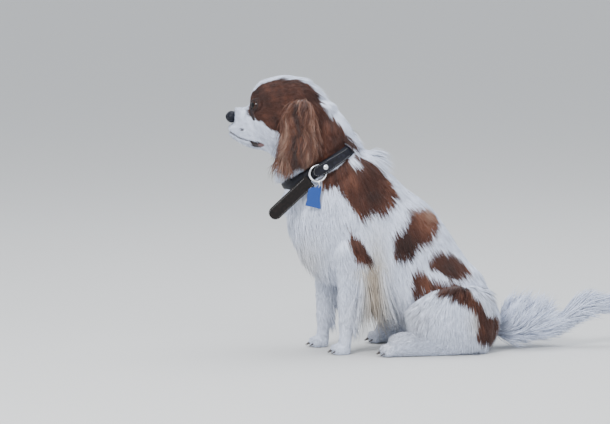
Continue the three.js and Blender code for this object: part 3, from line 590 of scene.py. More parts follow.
# %% The lie of the coat
LIE = {
    "head": [
        (-388, 4, 404, 0.9, 0.3, 0.2, 3.5, 16, 0.8),
        (-380, 22, 385, 0.9, 0.15, -0.25, 4.5, 16, 0.8),
        (-392, 10, 372, 0.3, 0.9, -0.3, 3.5, 18, 0.8),
        (-385, 14, 350, 0.9, 0.1, -0.3, 5, 18, 0.9),
        (-370, 0, 406, 1, 0.1, 0.1, 4, 14, 0.8),
        (-366, 26, 372, 0.9, 0.1, -0.3, 6, 16, 0.9),
        (-360, 28, 345, 0.9, 0, -0.4, 7, 20, 1),
        (-350, 0, 335, 1, 0, -0.2, 9, 20, 1.1),
        (-364, 14, 412, 0.5, 0.5, 0.7, 3.5, 16, 0.8),
        (-360, 4, 428, 0.35, 0.2, 0.9, 4.5, 16, 0.9),
        (-350, 30, 430, 0.5, 0.4, 0.8, 5, 16, 0.9),
        (-348, 42, 388, 0.9, 0.1, -0.4, 7, 16, 0.9),
        (-345, 10, 446, 0.8, 0.1, 0.6, 7, 15, 1),
        (-328, 44, 372, 0.75, 0.1, -0.65, 12, 16, 1.1),
        (-335, 44, 405, 0.95, 0.1, -0.1, 8, 14, 1),
        (-330, 20, 454, 1, 0.2, 0.2, 9, 14, 1.1),
        (-330, 38, 430, 0.95, 0.2, 0.1, 8, 14, 1),
        (-305, 10, 458, 1, 0.2, 0, 10, 14, 1.2),
        (-300, 42, 435, 0.8, 0.4, -0.4, 11, 14, 1.2),
        (-305, 48, 400, 0.5, 0.2, -0.85, 16, 14, 1.3),
        (-310, 42, 350, 0.5, 0.1, -0.9, 20, 18, 1.4),
        (-325, 15, 328, 0.3, 0, -1, 30, 34, 1.3),
        (-275, 10, 452, 0.9, 0.1, -0.35, 20, 20, 1.3),
        (-260, 30, 425, 0.5, 0.1, -0.85, 16, 16, 1.4),
        (-256, 5, 440, 0.75, 0, -0.65, 34, 13, 1.3),
        (-270, 35, 340, 0.2, 0, -1, 22, 16, 1.6),
    ],
    "ear": [
        (-280, 48, 424, 0, 0.5, -0.85, 16, 14, 1.4),
        (-305, 56, 405, -0.15, 0.2, -0.95, 22, 10, 1.5),
        (-280, 60, 400, 0, 0.2, -1, 26, 10, 1.6),
        (-255, 56, 405, 0.2, 0.1, -0.95, 26, 12, 1.6),
        (-310, 60, 370, -0.12, 0, -1, 44, 11, 1.4),
        (-280, 62, 365, -0.03, 0, -1, 38, 9, 1.5),
        (-250, 58, 365, 0.08, 0, -1, 34, 10, 1.5),
        (-308, 56, 335, -0.3, 0, -1, 50, 10, 1.5),
        (-282, 56, 325, -0.18, 0, -1, 24, 8, 1.5),
        (-256, 55, 335, -0.05, 0, -1, 26, 8, 1.5),
        (-280, 44, 370, 0, 0, -1, 18, 8, 1.5),
    ],
    "neck": [
        (-232, 5, 418, 0.5, 0, -0.85, 18, 8, 1.4),
        (-206, 8, 385, 0.45, 0, -0.9, 24, 16, 1.7),
        (-190, 10, 345, 0.7, 0, -0.7, 26, 18, 1.8),
        (-240, 42, 380, 0.2, 0.1, -1, 22, 12, 1.6),
        (-250, 45, 330, 0.15, 0.1, -1, 22, 12, 1.6),
        (-230, 50, 310, 0.1, 0.1, -1, 20, 12, 1.6),
        (-300, 25, 320, -0.05, 0, -1, 32, 26, 1.5),
        (-316, 5, 300, -0.1, 0, -1, 36, 34, 1.5),
        (-322, 5, 325, -0.1, 0, -1, 40, 36, 1.5),
        (-300, 30, 260, 0.1, 0.1, -1, 26, 16, 1.7),
    ],
    "torso": [
        (-188, 5, 336, 0.8, 0, 0.45, 38, 60, 1.3),
        (-165, 5, 334, 0.95, 0, 0, 44, 50, 1.3),
        (-170, 35, 325, 0.75, 0.4, -0.6, 32, 22, 2),
        (-140, 10, 312, 0.7, 0, -0.7, 26, 18, 1.9),
        (-215, 52, 300, 0.35, 0.15, -0.95, 26, 10.1, 1.61),
        (-180, 60, 260, 0.4, 0.1, -0.9, 28, 10.1, 1.61),
        (-240, 55, 245, 0.1, 0.15, -1, 30, 10.8, 1.61),
        (-306, 5, 235, 0.05, 0, -1, 36, 14, 1.7),
        (-290, 35, 215, 0.05, 0.1, -1, 38, 12, 1.7),
        (-285, 10, 170, 0.3, 0, -1, 44, 15, 1.8),
        (-255, 35, 140, 0.35, 0, -1, 40, 13, 1.78),
        (-230, 60, 200, 0.25, 0, -1, 28, 10.1, 1.61),
        (-110, 10, 285, 0.65, 0, -0.75, 24, 10.8, 1.61),
        (-60, 10, 245, 0.65, 0, -0.75, 24, 10.1, 1.61),
        (-120, 65, 220, 0.4, 0.1, -0.9, 26, 9.4, 1.61),
        (-150, 68, 160, 0.35, 0, -0.95, 28, 9.4, 1.61),
        (-80, 68, 180, 0.45, 0, -0.9, 26, 9.4, 1.61),
        (-20, 50, 170, 0.5, 0.1, -0.85, 25, 9.4, 1.61),
        (-10, 10, 185, 0.6, 0, -0.8, 24, 10.1, 1.61),
        (25, 10, 135, 0.5, 0, -0.9, 24, 10.1, 1.61),
        (44, 30, 75, 0.25, 0.1, -1, 24, 11.5, 1.61),
        (52, 5, 45, 0.7, 0, -0.7, 24, 18, 1.9),
        (-130, 55, 100, 0.2, 0, -1, 50, 11, 1.6),
        (-120, 10, 85, 0.2, 0, -1, 50, 12, 1.6),
        (-80, 20, 40, 0.6, 0, -0.8, 26, 12, 2),
        (-170, 30, 100, 0.15, 0, -1, 56, 12, 1.7),
        (30, 60, 95, 0.35, 0.1, -0.95, 24, 10.1, 1.61),
    ],
    "foreleg": [
        (-234, 50, 190, 0.1, 0.05, -1, 22, 12, 1.6),
        (-200, 65, 190, 0.25, 0.1, -1, 24, 12, 1.7),
        (-165, 60, 175, 0.45, 0.1, -0.9, 30, 14, 1.7),
        (-228, 46, 130, 0.05, 0, -1, 12, 12, 1.2),
        (-165, 55, 150, 0.3, 0.1, -1, 40, 16, 1.7),
        (-178, 48, 110, 0.3, 0, -1, 34, 18, 1.5),
        (-222, 44, 70, 0.02, 0, -1, 9, 12, 1.1),
        (-196, 44, 60, 0.25, 0, -1, 22, 18, 1.3),
        (-205, 56, 100, 0.1, 0.05, -1, 12, 12, 1.2),
        (-208, 54, 50, 0.05, 0, -1, 9, 12, 1.1),
        (-222, 44, 22, -0.3, 0, -0.95, 7, 14, 1),
        (-226, 44, 10, -0.8, 0, -0.6, 6, 14, 1),
        (-200, 44, 10, 0.2, 0, -1, 8, 14, 1),
    ],
    "thigh": [
        (20, 70, 105, 0.3, 0.1, -0.95, 24, 13, 1.8),
        (-20, 85, 110, -0.1, 0.2, -1, 22, 12, 1.8),
        (-60, 88, 105, -0.35, 0.2, -0.9, 22, 12, 1.8),
        (-100, 80, 85, -0.6, 0, -0.8, 20, 13, 1.7),
        (-115, 72, 55, -0.2, 0, -1, 20, 13, 1.7),
        (-80, 96, 60, -0.25, 0, -1, 24, 12, 1.8),
        (-40, 97, 60, 0, 0, -1, 26, 12, 1.8),
        (0, 92, 60, 0.15, 0, -1, 26, 13, 1.8),
        (35, 75, 55, 0.25, 0, -1, 26, 14, 1.8),
        (-50, 95, 20, -0.2, 0, -1, 20, 12, 1.7),
    ],
    "hindfoot": [
        (-30, 74, 30, -0.9, 0.1, 0, 12, 14, 1.3),
        (-80, 76, 42, -1, 0, 0, 10, 13, 1.2),
        (-80, 92, 22, -0.9, 0.1, -0.4, 10, 13, 1.2),
        (-125, 78, 40, -1, 0, -0.3, 8, 14, 1.1),
        (-146, 78, 20, -0.6, 0, -0.8, 6, 14, 1),
        (-120, 60, 15, -0.9, 0, -0.3, 9, 13, 1.1),
    ],
    "tail": [
        (40, 0, 58, 0.8, 0, 0.5, 36, 42, 2),
        (68, 0, 58, 0.4, 0, 0.9, 66, 80, 1.8),
        (104, 0, 56, 0.4, 0, 0.9, 66, 80, 1.8),
        (72, 20, 35, 0.4, 0, 0.95, 58, 34, 1.9),
        (104, 20, 35, 0.4, 0, 0.95, 58, 34, 1.9),
        (80, 0, 12, 1, 0, 0, 34, 12, 2.2),
        (120, 0, 16, 1, 0, 0.1, 40, 14, 2.2),
        (132, 0, 50, 0.9, 0, 0.3, 30, 20, 2),
        (152, 0, 45, 0.9, 0, 0.4, 44, 22, 2.2),
        (175, 0, 70, 0.85, 0, 0.5, 46, 26, 2.2),
        (180, 0, 42, 1, 0, 0, 44, 22, 2.2),
        (200, 14, 66, 0.95, 0.25, 0, 42, 20, 2.2),
        (225, 0, 75, 0.95, 0, 0.3, 38, 22, 2),
        (225, 0, 58, 1, 0, -0.2, 38, 22, 2),
        (248, 0, 70, 1, 0, 0.1, 26, 14, 1.8),
    ],
}
print("lines of the coat's lie:", sum(len(lines) for lines in LIE.values()))

# %% [markdown]
# Each vertex of the skin takes the zone of the form that lies nearest to it, and a mix of that
# zone's lines. The head's lines turn with the head, and the right foreleg's move with that leg.
# Neighbours then share what they have several times, so that the zones flow into each other.


# %% Give every vertex of the skin its zone and its lie
def blend_lie(points, lines):
    """For each point, the lie, length, steepness and width mixed from the nearest lines."""
    table = np.array(lines, float)
    side = np.where(points[:, 1] < 0, -1.0, 1.0)
    folded = points * np.stack([np.ones(len(points)), side, np.ones(len(points))], 1)
    far = np.linalg.norm(folded[:, None] - table[None, :, :3], axis=2)
    share = 1 / (far**2 + 30) ** 2
    share /= share.sum(axis=1, keepdims=True)
    mixed = share @ table[:, 3:]
    mixed[:, 1] *= side
    return mixed


kind_forms = {}
for name, piece in zones.items():
    kind = name.split("_")[0].replace("foretoe", "foreleg").replace("hindtoe", "hindfoot")
    kind_forms.setdefault(kind, []).append(piece)
kinds = list(kind_forms)
nearest = np.full(len(skin_places), 1e9)
kind_of = np.zeros(len(skin_places), int)
for number, kind in enumerate(kinds):
    places, faces = joined(kind_forms[kind])
    tree = BVHTree.FromPolygons(places.tolist(), faces)
    low, high = places.min(0) - 12, places.max(0) + 12
    for i in np.nonzero(((skin_places > low) & (skin_places < high)).all(axis=1))[0]:
        gap = tree.find_nearest(skin_places[i], nearest[i])[3]
        if gap is not None and gap < nearest[i]:
            nearest[i], kind_of[i] = gap, number
lie = np.zeros((len(skin_places), 6))
for number, kind in enumerate(kinds):
    chosen = kind_of == number
    points = skin_places[chosen]
    if kind in ("head", "ear"):
        points = turned(points, back=True)
    elif kind == "foreleg":
        points = points - np.where(points[:, 1:2] > 0, 1, 0) * [FAR_LEG_STEP, 0, 0]
    mixed = blend_lie(points, LIE[kind])
    if kind in ("head", "ear"):
        mixed[:, :3] = turned(mixed[:, :3] + HEAD_PIVOT) - HEAD_PIVOT
    lie[chosen] = mixed
edges = np.array([[v.index for v in edge.verts] for edge in flesh.edges])
count = np.bincount(edges.ravel(), minlength=len(lie))[:, None]
for _ in range(10):
    total = np.zeros_like(lie)
    np.add.at(total, edges[:, 0], lie[edges[:, 1]])
    np.add.at(total, edges[:, 1], lie[edges[:, 0]])
    lie = 0.4 * lie + 0.6 * total / count
print("zones:", {kind: int((kind_of == n).sum()) for n, kind in enumerate(kinds)})

# %% [markdown]
# Blenheim is the name for a white spaniel with chestnut patches. The patches could be painted on
# a picture and wrapped round the dog, but here they are outlines seen from the side, a few
# corners each, so that every tuft can be asked for its colour. The right side of the dog is its
# own: the same kind of patches, moved and resized, because no animal is the same on both sides.

# %% Patches, marks and pale places
LEFT_PATCHES = [
    # shoulder, up to the collar
    [(-180, 323), (-163, 315), (-147, 298), (-135, 282), (-125, 262), (-128, 249), (-142, 237),
     (-163, 234), (-176, 231), (-186, 222), (-193, 226), (-203, 244), (-216, 265), (-238, 270),
     (-256, 274), (-250, 290), (-229, 304), (-208, 322), (-196, 305), (-188, 308)],
    # back
    [(-106, 233), (-90, 240), (-70, 236), (-57, 222), (-55, 205), (-67, 190), (-81, 184),
     (-98, 162), (-119, 152), (-131, 159), (-137, 175), (-136, 195), (-114, 212)],
    # behind the elbow
    [(-203, 203), (-192, 192), (-179, 179), (-169, 166), (-172, 152), (-187, 154), (-199, 164), (-205, 182)],
    # flank
    [(-62, 170), (-37, 168), (-15, 150), (3, 130), (-24, 121), (-52, 130), (-72, 142), (-78, 152)],
    # along the top of the thigh and down to the seat
    [(-108, 112), (-102, 133), (-88, 143), (-75, 128), (-48, 120), (-20, 114), (3, 96), (18, 72),
     (20, 44), (8, 56), (-8, 80), (-37, 94), (-67, 101), (-83, 98), (-100, 95)],
    [(2, 58), (34, 72), (46, 54), (44, 22), (14, 18), (-2, 34)],
]
RIGHT_PATCHES = [
    [(x * 0.9 - 30, z * 1.02 - 14) for x, z in LEFT_PATCHES[0]],
    [(x * 1.15 + 34, z * 1.1 - 38) for x, z in LEFT_PATCHES[1]],
    [(x * 0.9 - 4, z * 0.8 - 62) for x, z in LEFT_PATCHES[3]],
    [(x, z - 4) for x, z in LEFT_PATCHES[4]],
]
CHEEK = np.array(
    [(-366, 397), (-358, 391), (-350, 385), (-337, 381.5), (-330, 374), (-327, 371), (-317, 366),
     (-308, 358), (-300, 350), (-280, 330), (-262, 318)]
)
# Soft spots seen from the side: x, z, width and height in millimetres, then how strong they are
SMALL_MARKS_AND_SHADE = [  # chestnut on the left rump and loin, and painted shade at the front of the thigh
    # painted shade where the front of the thigh meets the belly, as ragged streaks of chestnut
    (-96, 52, 9, 26, 0.5),
    (-82, 60, 6, 18, 0.35),
    (26, 94, 7, 8, 0.6),
    (-5, 158, 6, 5, 0.4),
    (0, 62, 12, 22, 0.22),
]
# Painted light and shade on the chestnut: lighter where light falls from above, darker lower down and at the
# front.
PAINTED_LIGHT_AND_SHADE_SPOTS = [
    (-75, 222, 26, 18, 0.5),  # painted light: the top of the back's patch is lit from above and painted lighter
    (-112, 172, 26, 24, -0.3),  # painted shade: its lower front is darker
    (-190, 262, 40, 26, -0.22),  # so is the shoulder, as painted shade
    (-30, 146, 40, 24, -0.25),  # and the flank, as painted shade
]
# Cream spots on the white hair. On the chest and the belly the greyer white is painted shade.
CREAM_AND_SHADE_SPOTS = [
    (-163, 110, 18, 70, 0.9),  # the elbow's long hair
    (-275, 150, 30, 40, 0.35),  # the chest, greyer here as painted shade
    (-150, 60, 60, 40, 0.25),  # the belly, greyer here as painted shade
    (-180, 138, 17, 9, 0.55),  # under the elbow's patch
    (4, 62, 16, 24, 0.5),  # the inside of the thigh
]
print("patches:", len(LEFT_PATCHES), "on the left,", len(RIGHT_PATCHES), "on the right")

# %% [markdown]
# A tuft asks how many millimetres it stands inside an outline, and a few slow waves of noise are
# added to the answer, so that a patch has the ragged edge that hair gives it.


# %% Inside an outline, and smooth noise
def inside_by(points, outline):
    """Signed distance to an outline in millimetres, above 0 inside it."""
    corners = np.array(outline, float)
    far, _ = to_line(points, np.vstack([corners, corners[:1]]))
    crossings = np.zeros(len(points), int)
    for a, b in zip(corners, np.roll(corners, -1, axis=0)):
        spans = (a[1] > points[:, 1]) != (b[1] > points[:, 1])
        rise = b[1] - a[1] if b[1] != a[1] else 1e-9
        at = a[0] + (points[:, 1] - a[1]) * (b[0] - a[0]) / rise
        crossings += spans & (points[:, 0] < at)
    return np.where(crossings % 2 == 1, far, -far)


def ripple(points, size, seed):
    """Smooth noise between about -1 and 1, from a few waves in random directions."""
    chance = np.random.default_rng(seed)
    total = np.zeros(len(points))
    for _ in range(7):
        way = chance.normal(size=3)
        way *= 2 * np.pi / (size * np.linalg.norm(way) * chance.uniform(0.6, 1.6))
        total += np.sin(points @ way + chance.uniform(0, 6.28))
    return total / 3.2


def spot(x, z, place_x, place_z, wide, high):
    """1 in the middle of a soft spot, and less and less away from it."""
    return np.exp(-(((x - place_x) / wide) ** 2 + ((z - place_z) / high) ** 2))


trial = np.array([[-90.0, 210.0], [0.0, 300.0]])
print("inside the back's patch by:", inside_by(trial, LEFT_PATCHES[1]).round(1))

# %% [markdown]
# The body takes its patches from the outlines. The head has rules of its own: a white muzzle, a
# blaze between the eyes and a white strip over the crown. The ears are chestnut all over, and the
# neck is chestnut behind the ears as far as the collar, white along the nape and the throat.


# %% Where the coat is chestnut
def chestnut_at(points, zone):
    """How chestnut the coat is at each point, in millimetres inside the nearest patch."""
    depth = np.full(len(points), -99.0)
    left = points[:, 1] < 0
    side_view = points[:, [0, 2]]
    for patches, here in ((LEFT_PATCHES, left), (RIGHT_PATCHES, ~left)):
        here = here & np.isin(zone, [kinds.index(k) for k in ("torso", "foreleg", "thigh", "neck")])
        for outline in patches:
            # near the middle of the back a patch ends in a ragged edge, not in a straight cut
            patch = np.minimum(inside_by(side_view[here], outline), np.abs(points[here, 1]) * 0.9 - 5)
            depth[here] = np.maximum(depth[here], patch)
    straight = turned(points, back=True)
    x, y, z = straight[:, 0], np.abs(straight[:, 1]), straight[:, 2]
    blaze = np.interp(x, [-372, -362, -350, -330, -300, -270, -240, -200], [11, 13, 17, 16, 15, 15, 24, 30])
    cheek = np.interp(x, CHEEK[:, 0], CHEEK[:, 1])
    blaze = blaze - (blaze - 6) * np.exp(-(((z - 416) / 17) ** 2)) * (x < -335)
    corner = 5 * spot(y, z, 19, 410, 7, 11)
    head = np.minimum(np.minimum(y - blaze, z - cheek), (x + 361 + corner) * 0.8)
    in_head = zone == kinds.index("head")
    depth[in_head] = head[in_head]
    depth[zone == kinds.index("ear")] = 20
    nape = np.interp(z, [300, 340, 372, 395, 415], [26, 15, 19, 26, 31])
    from_nape = (x + 247) * 0.82 + (z - 372) * 0.57
    wide = np.where(from_nape > -14, y - nape, 30)
    throat = np.interp(x, [-325, -290, -268, -255], [-14, -8, 4, 20])
    # below the collar the throat's hair is white
    throat = np.minimum(throat, (z - 275 - (x + 306) * 0.573 + 4) * 0.8)
    neck = np.minimum(wide, throat)
    in_neck = zone == kinds.index("neck")
    depth[in_neck] = np.maximum(depth[in_neck], neck[in_neck])
    return depth


print("chestnut skin:", int((chestnut_at(skin_places, kind_of) > 0).sum()), "vertices")

# %% [markdown]
# Chestnut hair isn't one colour. It is lighter where it is worn or bleached, as on the long hair
# at the front and back of each ear, and white hair turns cream or grey in some places. Painted
# light and shade go into the same value: chestnut painted lighter on top of the back and darker
# lower down and at the front, and white painted greyer on the chest and belly as painted shade.
# All of it is kept as one value, light, that means one thing on chestnut hair and another on white.


# %% How light the hair is
def markings(points, zone):
    """The share of chestnut, with ragged edges, and how light or warm the hair is there, with painted light
    and shade in both.
    """
    depth = chestnut_at(points, zone) + 2.2 * ripple(points, 16, 3) + 1.2 * ripple(points, 6, 4)
    chestnut = smooth(depth / 3.4 + 0.5)
    x, y, z = points.T
    ragged = np.clip(0.7 + 0.6 * ripple(points, 7, 8), 0, 1)
    # chestnut marks, and painted shade at the front of the thigh
    for *place, share in SMALL_MARKS_AND_SHADE:
        chestnut = np.maximum(chestnut, share * (spot(x, z, *place) * (y < -20)) * ragged)
    light = 0.4 + 0.15 * ripple(points, 60, 5) + 0.09 * ripple(points, 14, 6)
    # painted light and shade on the chestnut hair
    for *place, share in PAINTED_LIGHT_AND_SHADE_SPOTS:
        light += share * spot(x, z, *place)
    straight = turned(points, back=True)
    in_ear = zone == kinds.index("ear")
    light += np.where(in_ear, 0.3, 0.1) * ripple(straight * [1, 1, 0.16], 11, 15)
    front_edge = np.exp(-(((straight[:, 0] + 302) / 9) ** 2))
    back_edge = np.exp(-(((straight[:, 0] + 262) / 12) ** 2))
    low = smooth((415 - straight[:, 2]) / 60)
    light = np.where(in_ear, light + 0.13 + 0.45 * (front_edge + 0.9 * back_edge) * low, light)
    light = np.where(zone == kinds.index("head"), light - 0.1, light)
    # cream on the white hair, with painted shade on the chest and the belly
    cream_and_shade = np.zeros(len(points))
    for *place, share in CREAM_AND_SHADE_SPOTS:
        cream_and_shade += share * spot(x, z, *place)
    light = np.where(chestnut > 0.5, light, np.clip(cream_and_shade, 0, 1))
    return chestnut, np.clip(light, 0, 1)


chestnut, light = markings(skin_places, kind_of)
print("mean chestnut:", round(chestnut.mean(), 3), "mean light:", round(light.mean(), 3))

# %% [markdown]
# The skin becomes an object. Its map, made with Smart UV Project, is an unwrap of its own shape.
# Every tuft later takes its root's place on that map, so that a baked picture has one small
# patch for each tuft.


# %% Make the skin
def new_object(name, data):
    """An object in the scene that rides on the whole dog."""
    made = bpy.data.objects.new(name, data)
    bpy.context.scene.collection.objects.link(made)
    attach(made, "root")
    return made


def coat_attribute(data, chestnut, light, tone, along):
    """Stores what the coat's colours are mixed from, one value for each vertex."""
    values = np.stack([chestnut, light, tone, along], 1).astype(np.float32)
    attribute = data.attributes.new("coat", "FLOAT_COLOR", "POINT")
    attribute.data.foreach_set("color", values.ravel())


def single_attribute(data, name, values):
    """Stores one number for each vertex."""
    attribute = data.attributes.new(name, "FLOAT", "POINT")
    attribute.data.foreach_set("value", np.asarray(values, np.float32))


ROOT_SHADE = 0.25  # painted shade: the skin is as dark as hair a quarter of the way along it
bmesh.ops.triangulate(flesh, faces=flesh.faces)
flesh.verts.ensure_lookup_table()
flesh.normal_update()
skin_out = np.array([v.normal for v in flesh.verts])
for vertex in flesh.verts:
    vertex.co = vertex.co * MM
skin_data = bpy.data.meshes.new("skin")
flesh.to_mesh(skin_data)
flesh.free()
skin_data.polygons.foreach_set("use_smooth", [True] * len(skin_data.polygons))
skin = new_object("skin", skin_data)
body_nodes = [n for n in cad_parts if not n.startswith(("collar", "tag", "eye", "nose"))]
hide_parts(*body_nodes)
tone = np.clip(0.5 + 0.3 * ripple(skin_places, 5, 9), 0, 1)
coat_attribute(skin_data, chestnut, light, tone, np.full(len(tone), ROOT_SHADE))
single_attribute(skin_data, "bare", bare)
single_attribute(skin_data, "pink", pink)
bpy.context.view_layer.objects.active = skin
skin.select_set(True)
bpy.ops.object.mode_set(mode="EDIT")
bpy.ops.mesh.select_all(action="SELECT")
bpy.ops.uv.smart_project(angle_limit=math.radians(75), island_margin=0.002)
bpy.ops.object.mode_set(mode="OBJECT")
skin.select_set(False)
skin_data.uv_layers[0].name = "OFBake"
print("skin:", len(skin_data.polygons), "triangles")

# %% [markdown]
# A tuft stands for a pinch of hairs. Hair curves would look finer, but many programs can't read
# them, so every tuft is a thin solid. Its root is a random place on a triangle of the skin, and a
# larger triangle gets more roots, so that the coat is even.

# %% Roots on the skin
corners = np.array([list(p.vertices) for p in skin_data.polygons])
skin_uv = np.empty(len(skin_data.loops) * 2)
skin_data.uv_layers["OFBake"].data.foreach_get("uv", skin_uv)
skin_uv = skin_uv.reshape(-1, 3, 2)
spans = skin_places[corners]
areas = np.linalg.norm(np.cross(spans[:, 1] - spans[:, 0], spans[:, 2] - spans[:, 0]), axis=1) / 2


def scatter(chance, triangles, spacing):
    """Roots spread evenly over the triangles, one for every spacing squared on average."""
    total = areas[triangles].sum()
    number = int(total / spacing**2)
    ends = np.cumsum(areas[triangles]) / total
    pick = triangles[np.searchsorted(ends, (np.arange(number) + chance.random(number)) / number)]
    a, b = chance.random(number), chance.random(number)
    over = a + b > 1
    a, b = np.where(over, 1 - a, a), np.where(over, 1 - b, b)
    mix = np.stack([1 - a - b, a, b], 1)
    vertices = corners[pick]
    return {
        "root": np.einsum("ij,ijk->ik", mix, skin_places[vertices]),
        "out": np.einsum("ij,ijk->ik", mix, skin_out[vertices]),
        "lie": np.einsum("ij,ijk->ik", mix, lie[vertices]),
        "uv": np.einsum("ij,ijk->ik", mix, skin_uv[pick]),
        "bare": np.einsum("ij,ij->i", mix, np.maximum(bare, pink)[vertices]),
        "zone": kind_of[vertices[:, 0]],
    }


def part_of(hair, chosen):
    """Only the chosen ones of these tufts."""
    return {key: values[chosen] for key, values in hair.items()}


def unit(vectors):
    """The same directions, each one long."""
    return vectors / np.maximum(np.linalg.norm(vectors, axis=-1, keepdims=True), 1e-9)


print("skin:", round(areas.sum() / 1e6, 3), "square metres")

# %% [markdown]
# Hair doesn't grow through leather. Under the band there is none, hair from above the band ends
# at its upper edge, and every other tuft that comes near the collar, the strap or the tag is cut
# short. A search tree of the solids' faces finds the nearest leather quickly.

# %% Keep the collar clear of hair
COLLAR_NAPE = np.array([-190, 0, 341.5])
COLLAR_THROAT = np.array([-306, 0, 275])
COLLAR_HALF_WIDTH = 53
BAND_EDGE = 9.5  # how far the band covers the skin, up and down from its middle
UNDER_BAND = 1.35  # skin nearer the collar's middle than this many times its size is under it
NEAR_BAND = 2.1
HAIR_GAP = 1.7  # hair keeps this far from the leather
collar_middle = (COLLAR_NAPE + COLLAR_THROAT) / 2
collar_reach = np.linalg.norm(COLLAR_THROAT - COLLAR_NAPE) / 2
forward = (COLLAR_THROAT - COLLAR_NAPE) / (2 * collar_reach)
down_neck = np.cross(forward, [0, 1, 0])
collar_solid = bmesh.new()
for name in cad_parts:
    if name.startswith(("collar", "tag")):
        collar_solid.from_mesh(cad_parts[name].data)
bmesh.ops.scale(collar_solid, vec=(1 / MM, 1 / MM, 1 / MM), verts=collar_solid.verts)
collar_tree = BVHTree.FromBMesh(collar_solid)
collar_box = np.array([v.co for v in collar_solid.verts])
collar_box = collar_box.min(0) - 8, collar_box.max(0) + 8
collar_solid.free()


def shortened(line, share):
    """A tuft's line, from its root to this share of its length."""
    return line[:1] + (line - line[:1]) * share


def clear_of_collar(points):
    """Cuts tufts short before the collar, strap and tag, and says which ones are left."""
    steps = points.shape[1] - 1
    off = points - collar_middle
    across = off @ down_neck
    around = np.hypot(off @ forward / collar_reach, off[:, :, 1] / COLLAR_HALF_WIDTH)
    keep = (around[:, 0] >= UNDER_BAND) | (np.abs(across[:, 0]) >= BAND_EDGE)
    above = (around[:, 0] < NEAR_BAND) & (across[:, 0] <= -BAND_EDGE)
    for i in np.nonzero(above & (across.max(axis=1) > -BAND_EDGE))[0]:
        step = int(np.argmax(across[i] > -BAND_EDGE))
        drop = across[i, step] - across[i, step - 1]
        share = (step - 1 + (-BAND_EDGE - across[i, step - 1]) / max(drop, 1e-6)) / steps
        if share < 0.12:
            keep[i] = False
        points[i] = shortened(points[i], share)
    near = ((points > collar_box[0]) & (points < collar_box[1])).all(axis=2).any(axis=1)
    for i in np.nonzero(near)[0]:
        for step, point in enumerate(points[i]):
            if collar_tree.find_nearest(point, HAIR_GAP)[0] is not None:
                if step == 0:
                    keep[i] = False
                else:
                    points[i] = shortened(points[i], (step - 0.75) / steps)
                break
    return keep


print("collar box:", [side.round(0) for side in collar_box])

# %% [markdown]
# A tuft leaves its root at the steepness of its place, lies over along the coat, and sags a
# little. Hair also gathers: here and there one tuft leads, and the tips of its neighbours lean
# toward it. Without this the coat would look like a brush instead of lying in locks.


# %% The line of a tuft
def centre_lines(hair, chance, steps, gather, every, wave, droop):
    """The curve that each tuft follows, from its root to its tip, steps + 1 points each."""
    out, root = unit(hair["out"]), hair["root"]
    way = hair["lie"][:, :3]
    way = unit(way - (way * out).sum(1, keepdims=True) * out)
    side = np.cross(out, way)
    swing = 0.1 * ripple(root, 22, 11) + 0.08 * ripple(root, 7, 12) + chance.normal(0, 0.07, len(root))
    way = unit(way + side * swing[:, None])
    side = np.cross(out, way)
    long = hair["lie"][:, 3] * np.exp(chance.normal(0, 0.14, len(root)))
    steep = np.radians(np.clip(hair["lie"][:, 4] * np.exp(chance.normal(0, 0.2, len(root))), 4, 80))
    phase = 2.6 * ripple(root, 34, 21) + chance.normal(0, 0.5, len(root))
    shares = np.linspace(0, 1, steps + 1)
    points = []
    for u in shares:
        rise = np.sin(steep) * (u - 0.42 * u * u)
        run = np.cos(steep) * u + 0.2 * np.sin(steep) * u * u
        sway = wave * (np.sin(3.4 * u + phase) - np.sin(phase)) * u
        point = root + (way * run[:, None] + out * rise[:, None] + side * sway[:, None]) * long[:, None]
        point[:, 2] -= droop * long * u * u
        points.append(point)
    points = np.stack(points, 1)
    leaders = np.nonzero(chance.random(len(root)) < 1 / every)[0]
    if gather > 0 and len(leaders):
        tree = KDTree(len(leaders))
        for i, leader in enumerate(leaders):
            tree.insert(root[leader], i)
        tree.balance()
        nearest = leaders[[tree.find(place)[1] for place in root]]
        same = np.linalg.norm(root[nearest] - root, axis=1) < 14
        pull = gather * shares**1.4 * chance.uniform(0.5, 1, len(root))[:, None] * same[:, None]
        points += pull[:, :, None] * (points[nearest] - points) * 0.9
    points[:, :, 2] = np.maximum(points[:, :, 2], 0.9)
    return points


# %% [markdown]
# A tuft is a tapered prism of three sides along its line: wide where many hairs leave the skin
# together, and pointed where they end. All tufts of a region are one mesh with the same pattern
# of faces. On flat coat the normals lean outwards with the skin, so that the light falls on the
# hair as on the body under it, and not on each tuft by itself.

# %% The mesh of the tufts
UV_PATCH = 0.003  # the width of one tuft's patch on the map, which is one wide in all


def tuft_faces(rings):
    """The corners of one tuft's faces: quads between rings, then the tip and the root."""
    quads = [
        [r * 3 + 3 + a, r * 3 + 3 + (a + 1) % 3, r * 3 + (a + 1) % 3, r * 3 + a]
        for r in range(rings - 1)
        for a in range(3)
    ]
    tip, last = rings * 3, (rings - 1) * 3
    return quads + [[tip, last + (a + 1) % 3, last + a] for a in range(3)] + [[0, 1, 2]]


def tuft_places(points, out, width, rings):
    """The corners of each tuft: three round the line at each step, and one at the tip."""
    u = np.linspace(0, 1, rings + 1)
    run = unit(np.gradient(points, axis=1))
    side = unit(np.cross(out, run))
    top = np.cross(run, side)
    roll = np.random.default_rng(len(points)).normal(0, 0.35, (len(points), 1, 1))
    side, top = side * np.cos(roll) + top * np.sin(roll), top * np.cos(roll) - side * np.sin(roll)
    taper = (1 - u) ** 0.7 * (0.75 + 0.7 * u)
    half = (width[:, None] * taper / 2)[:, :, None]
    ring = np.stack([points - side * half, points + top * half * 0.7, points + side * half], 2)
    ring = ring[:, :rings].reshape(len(points), rings * 3, 3)
    return np.concatenate([ring, points[:, -1:]], 1)


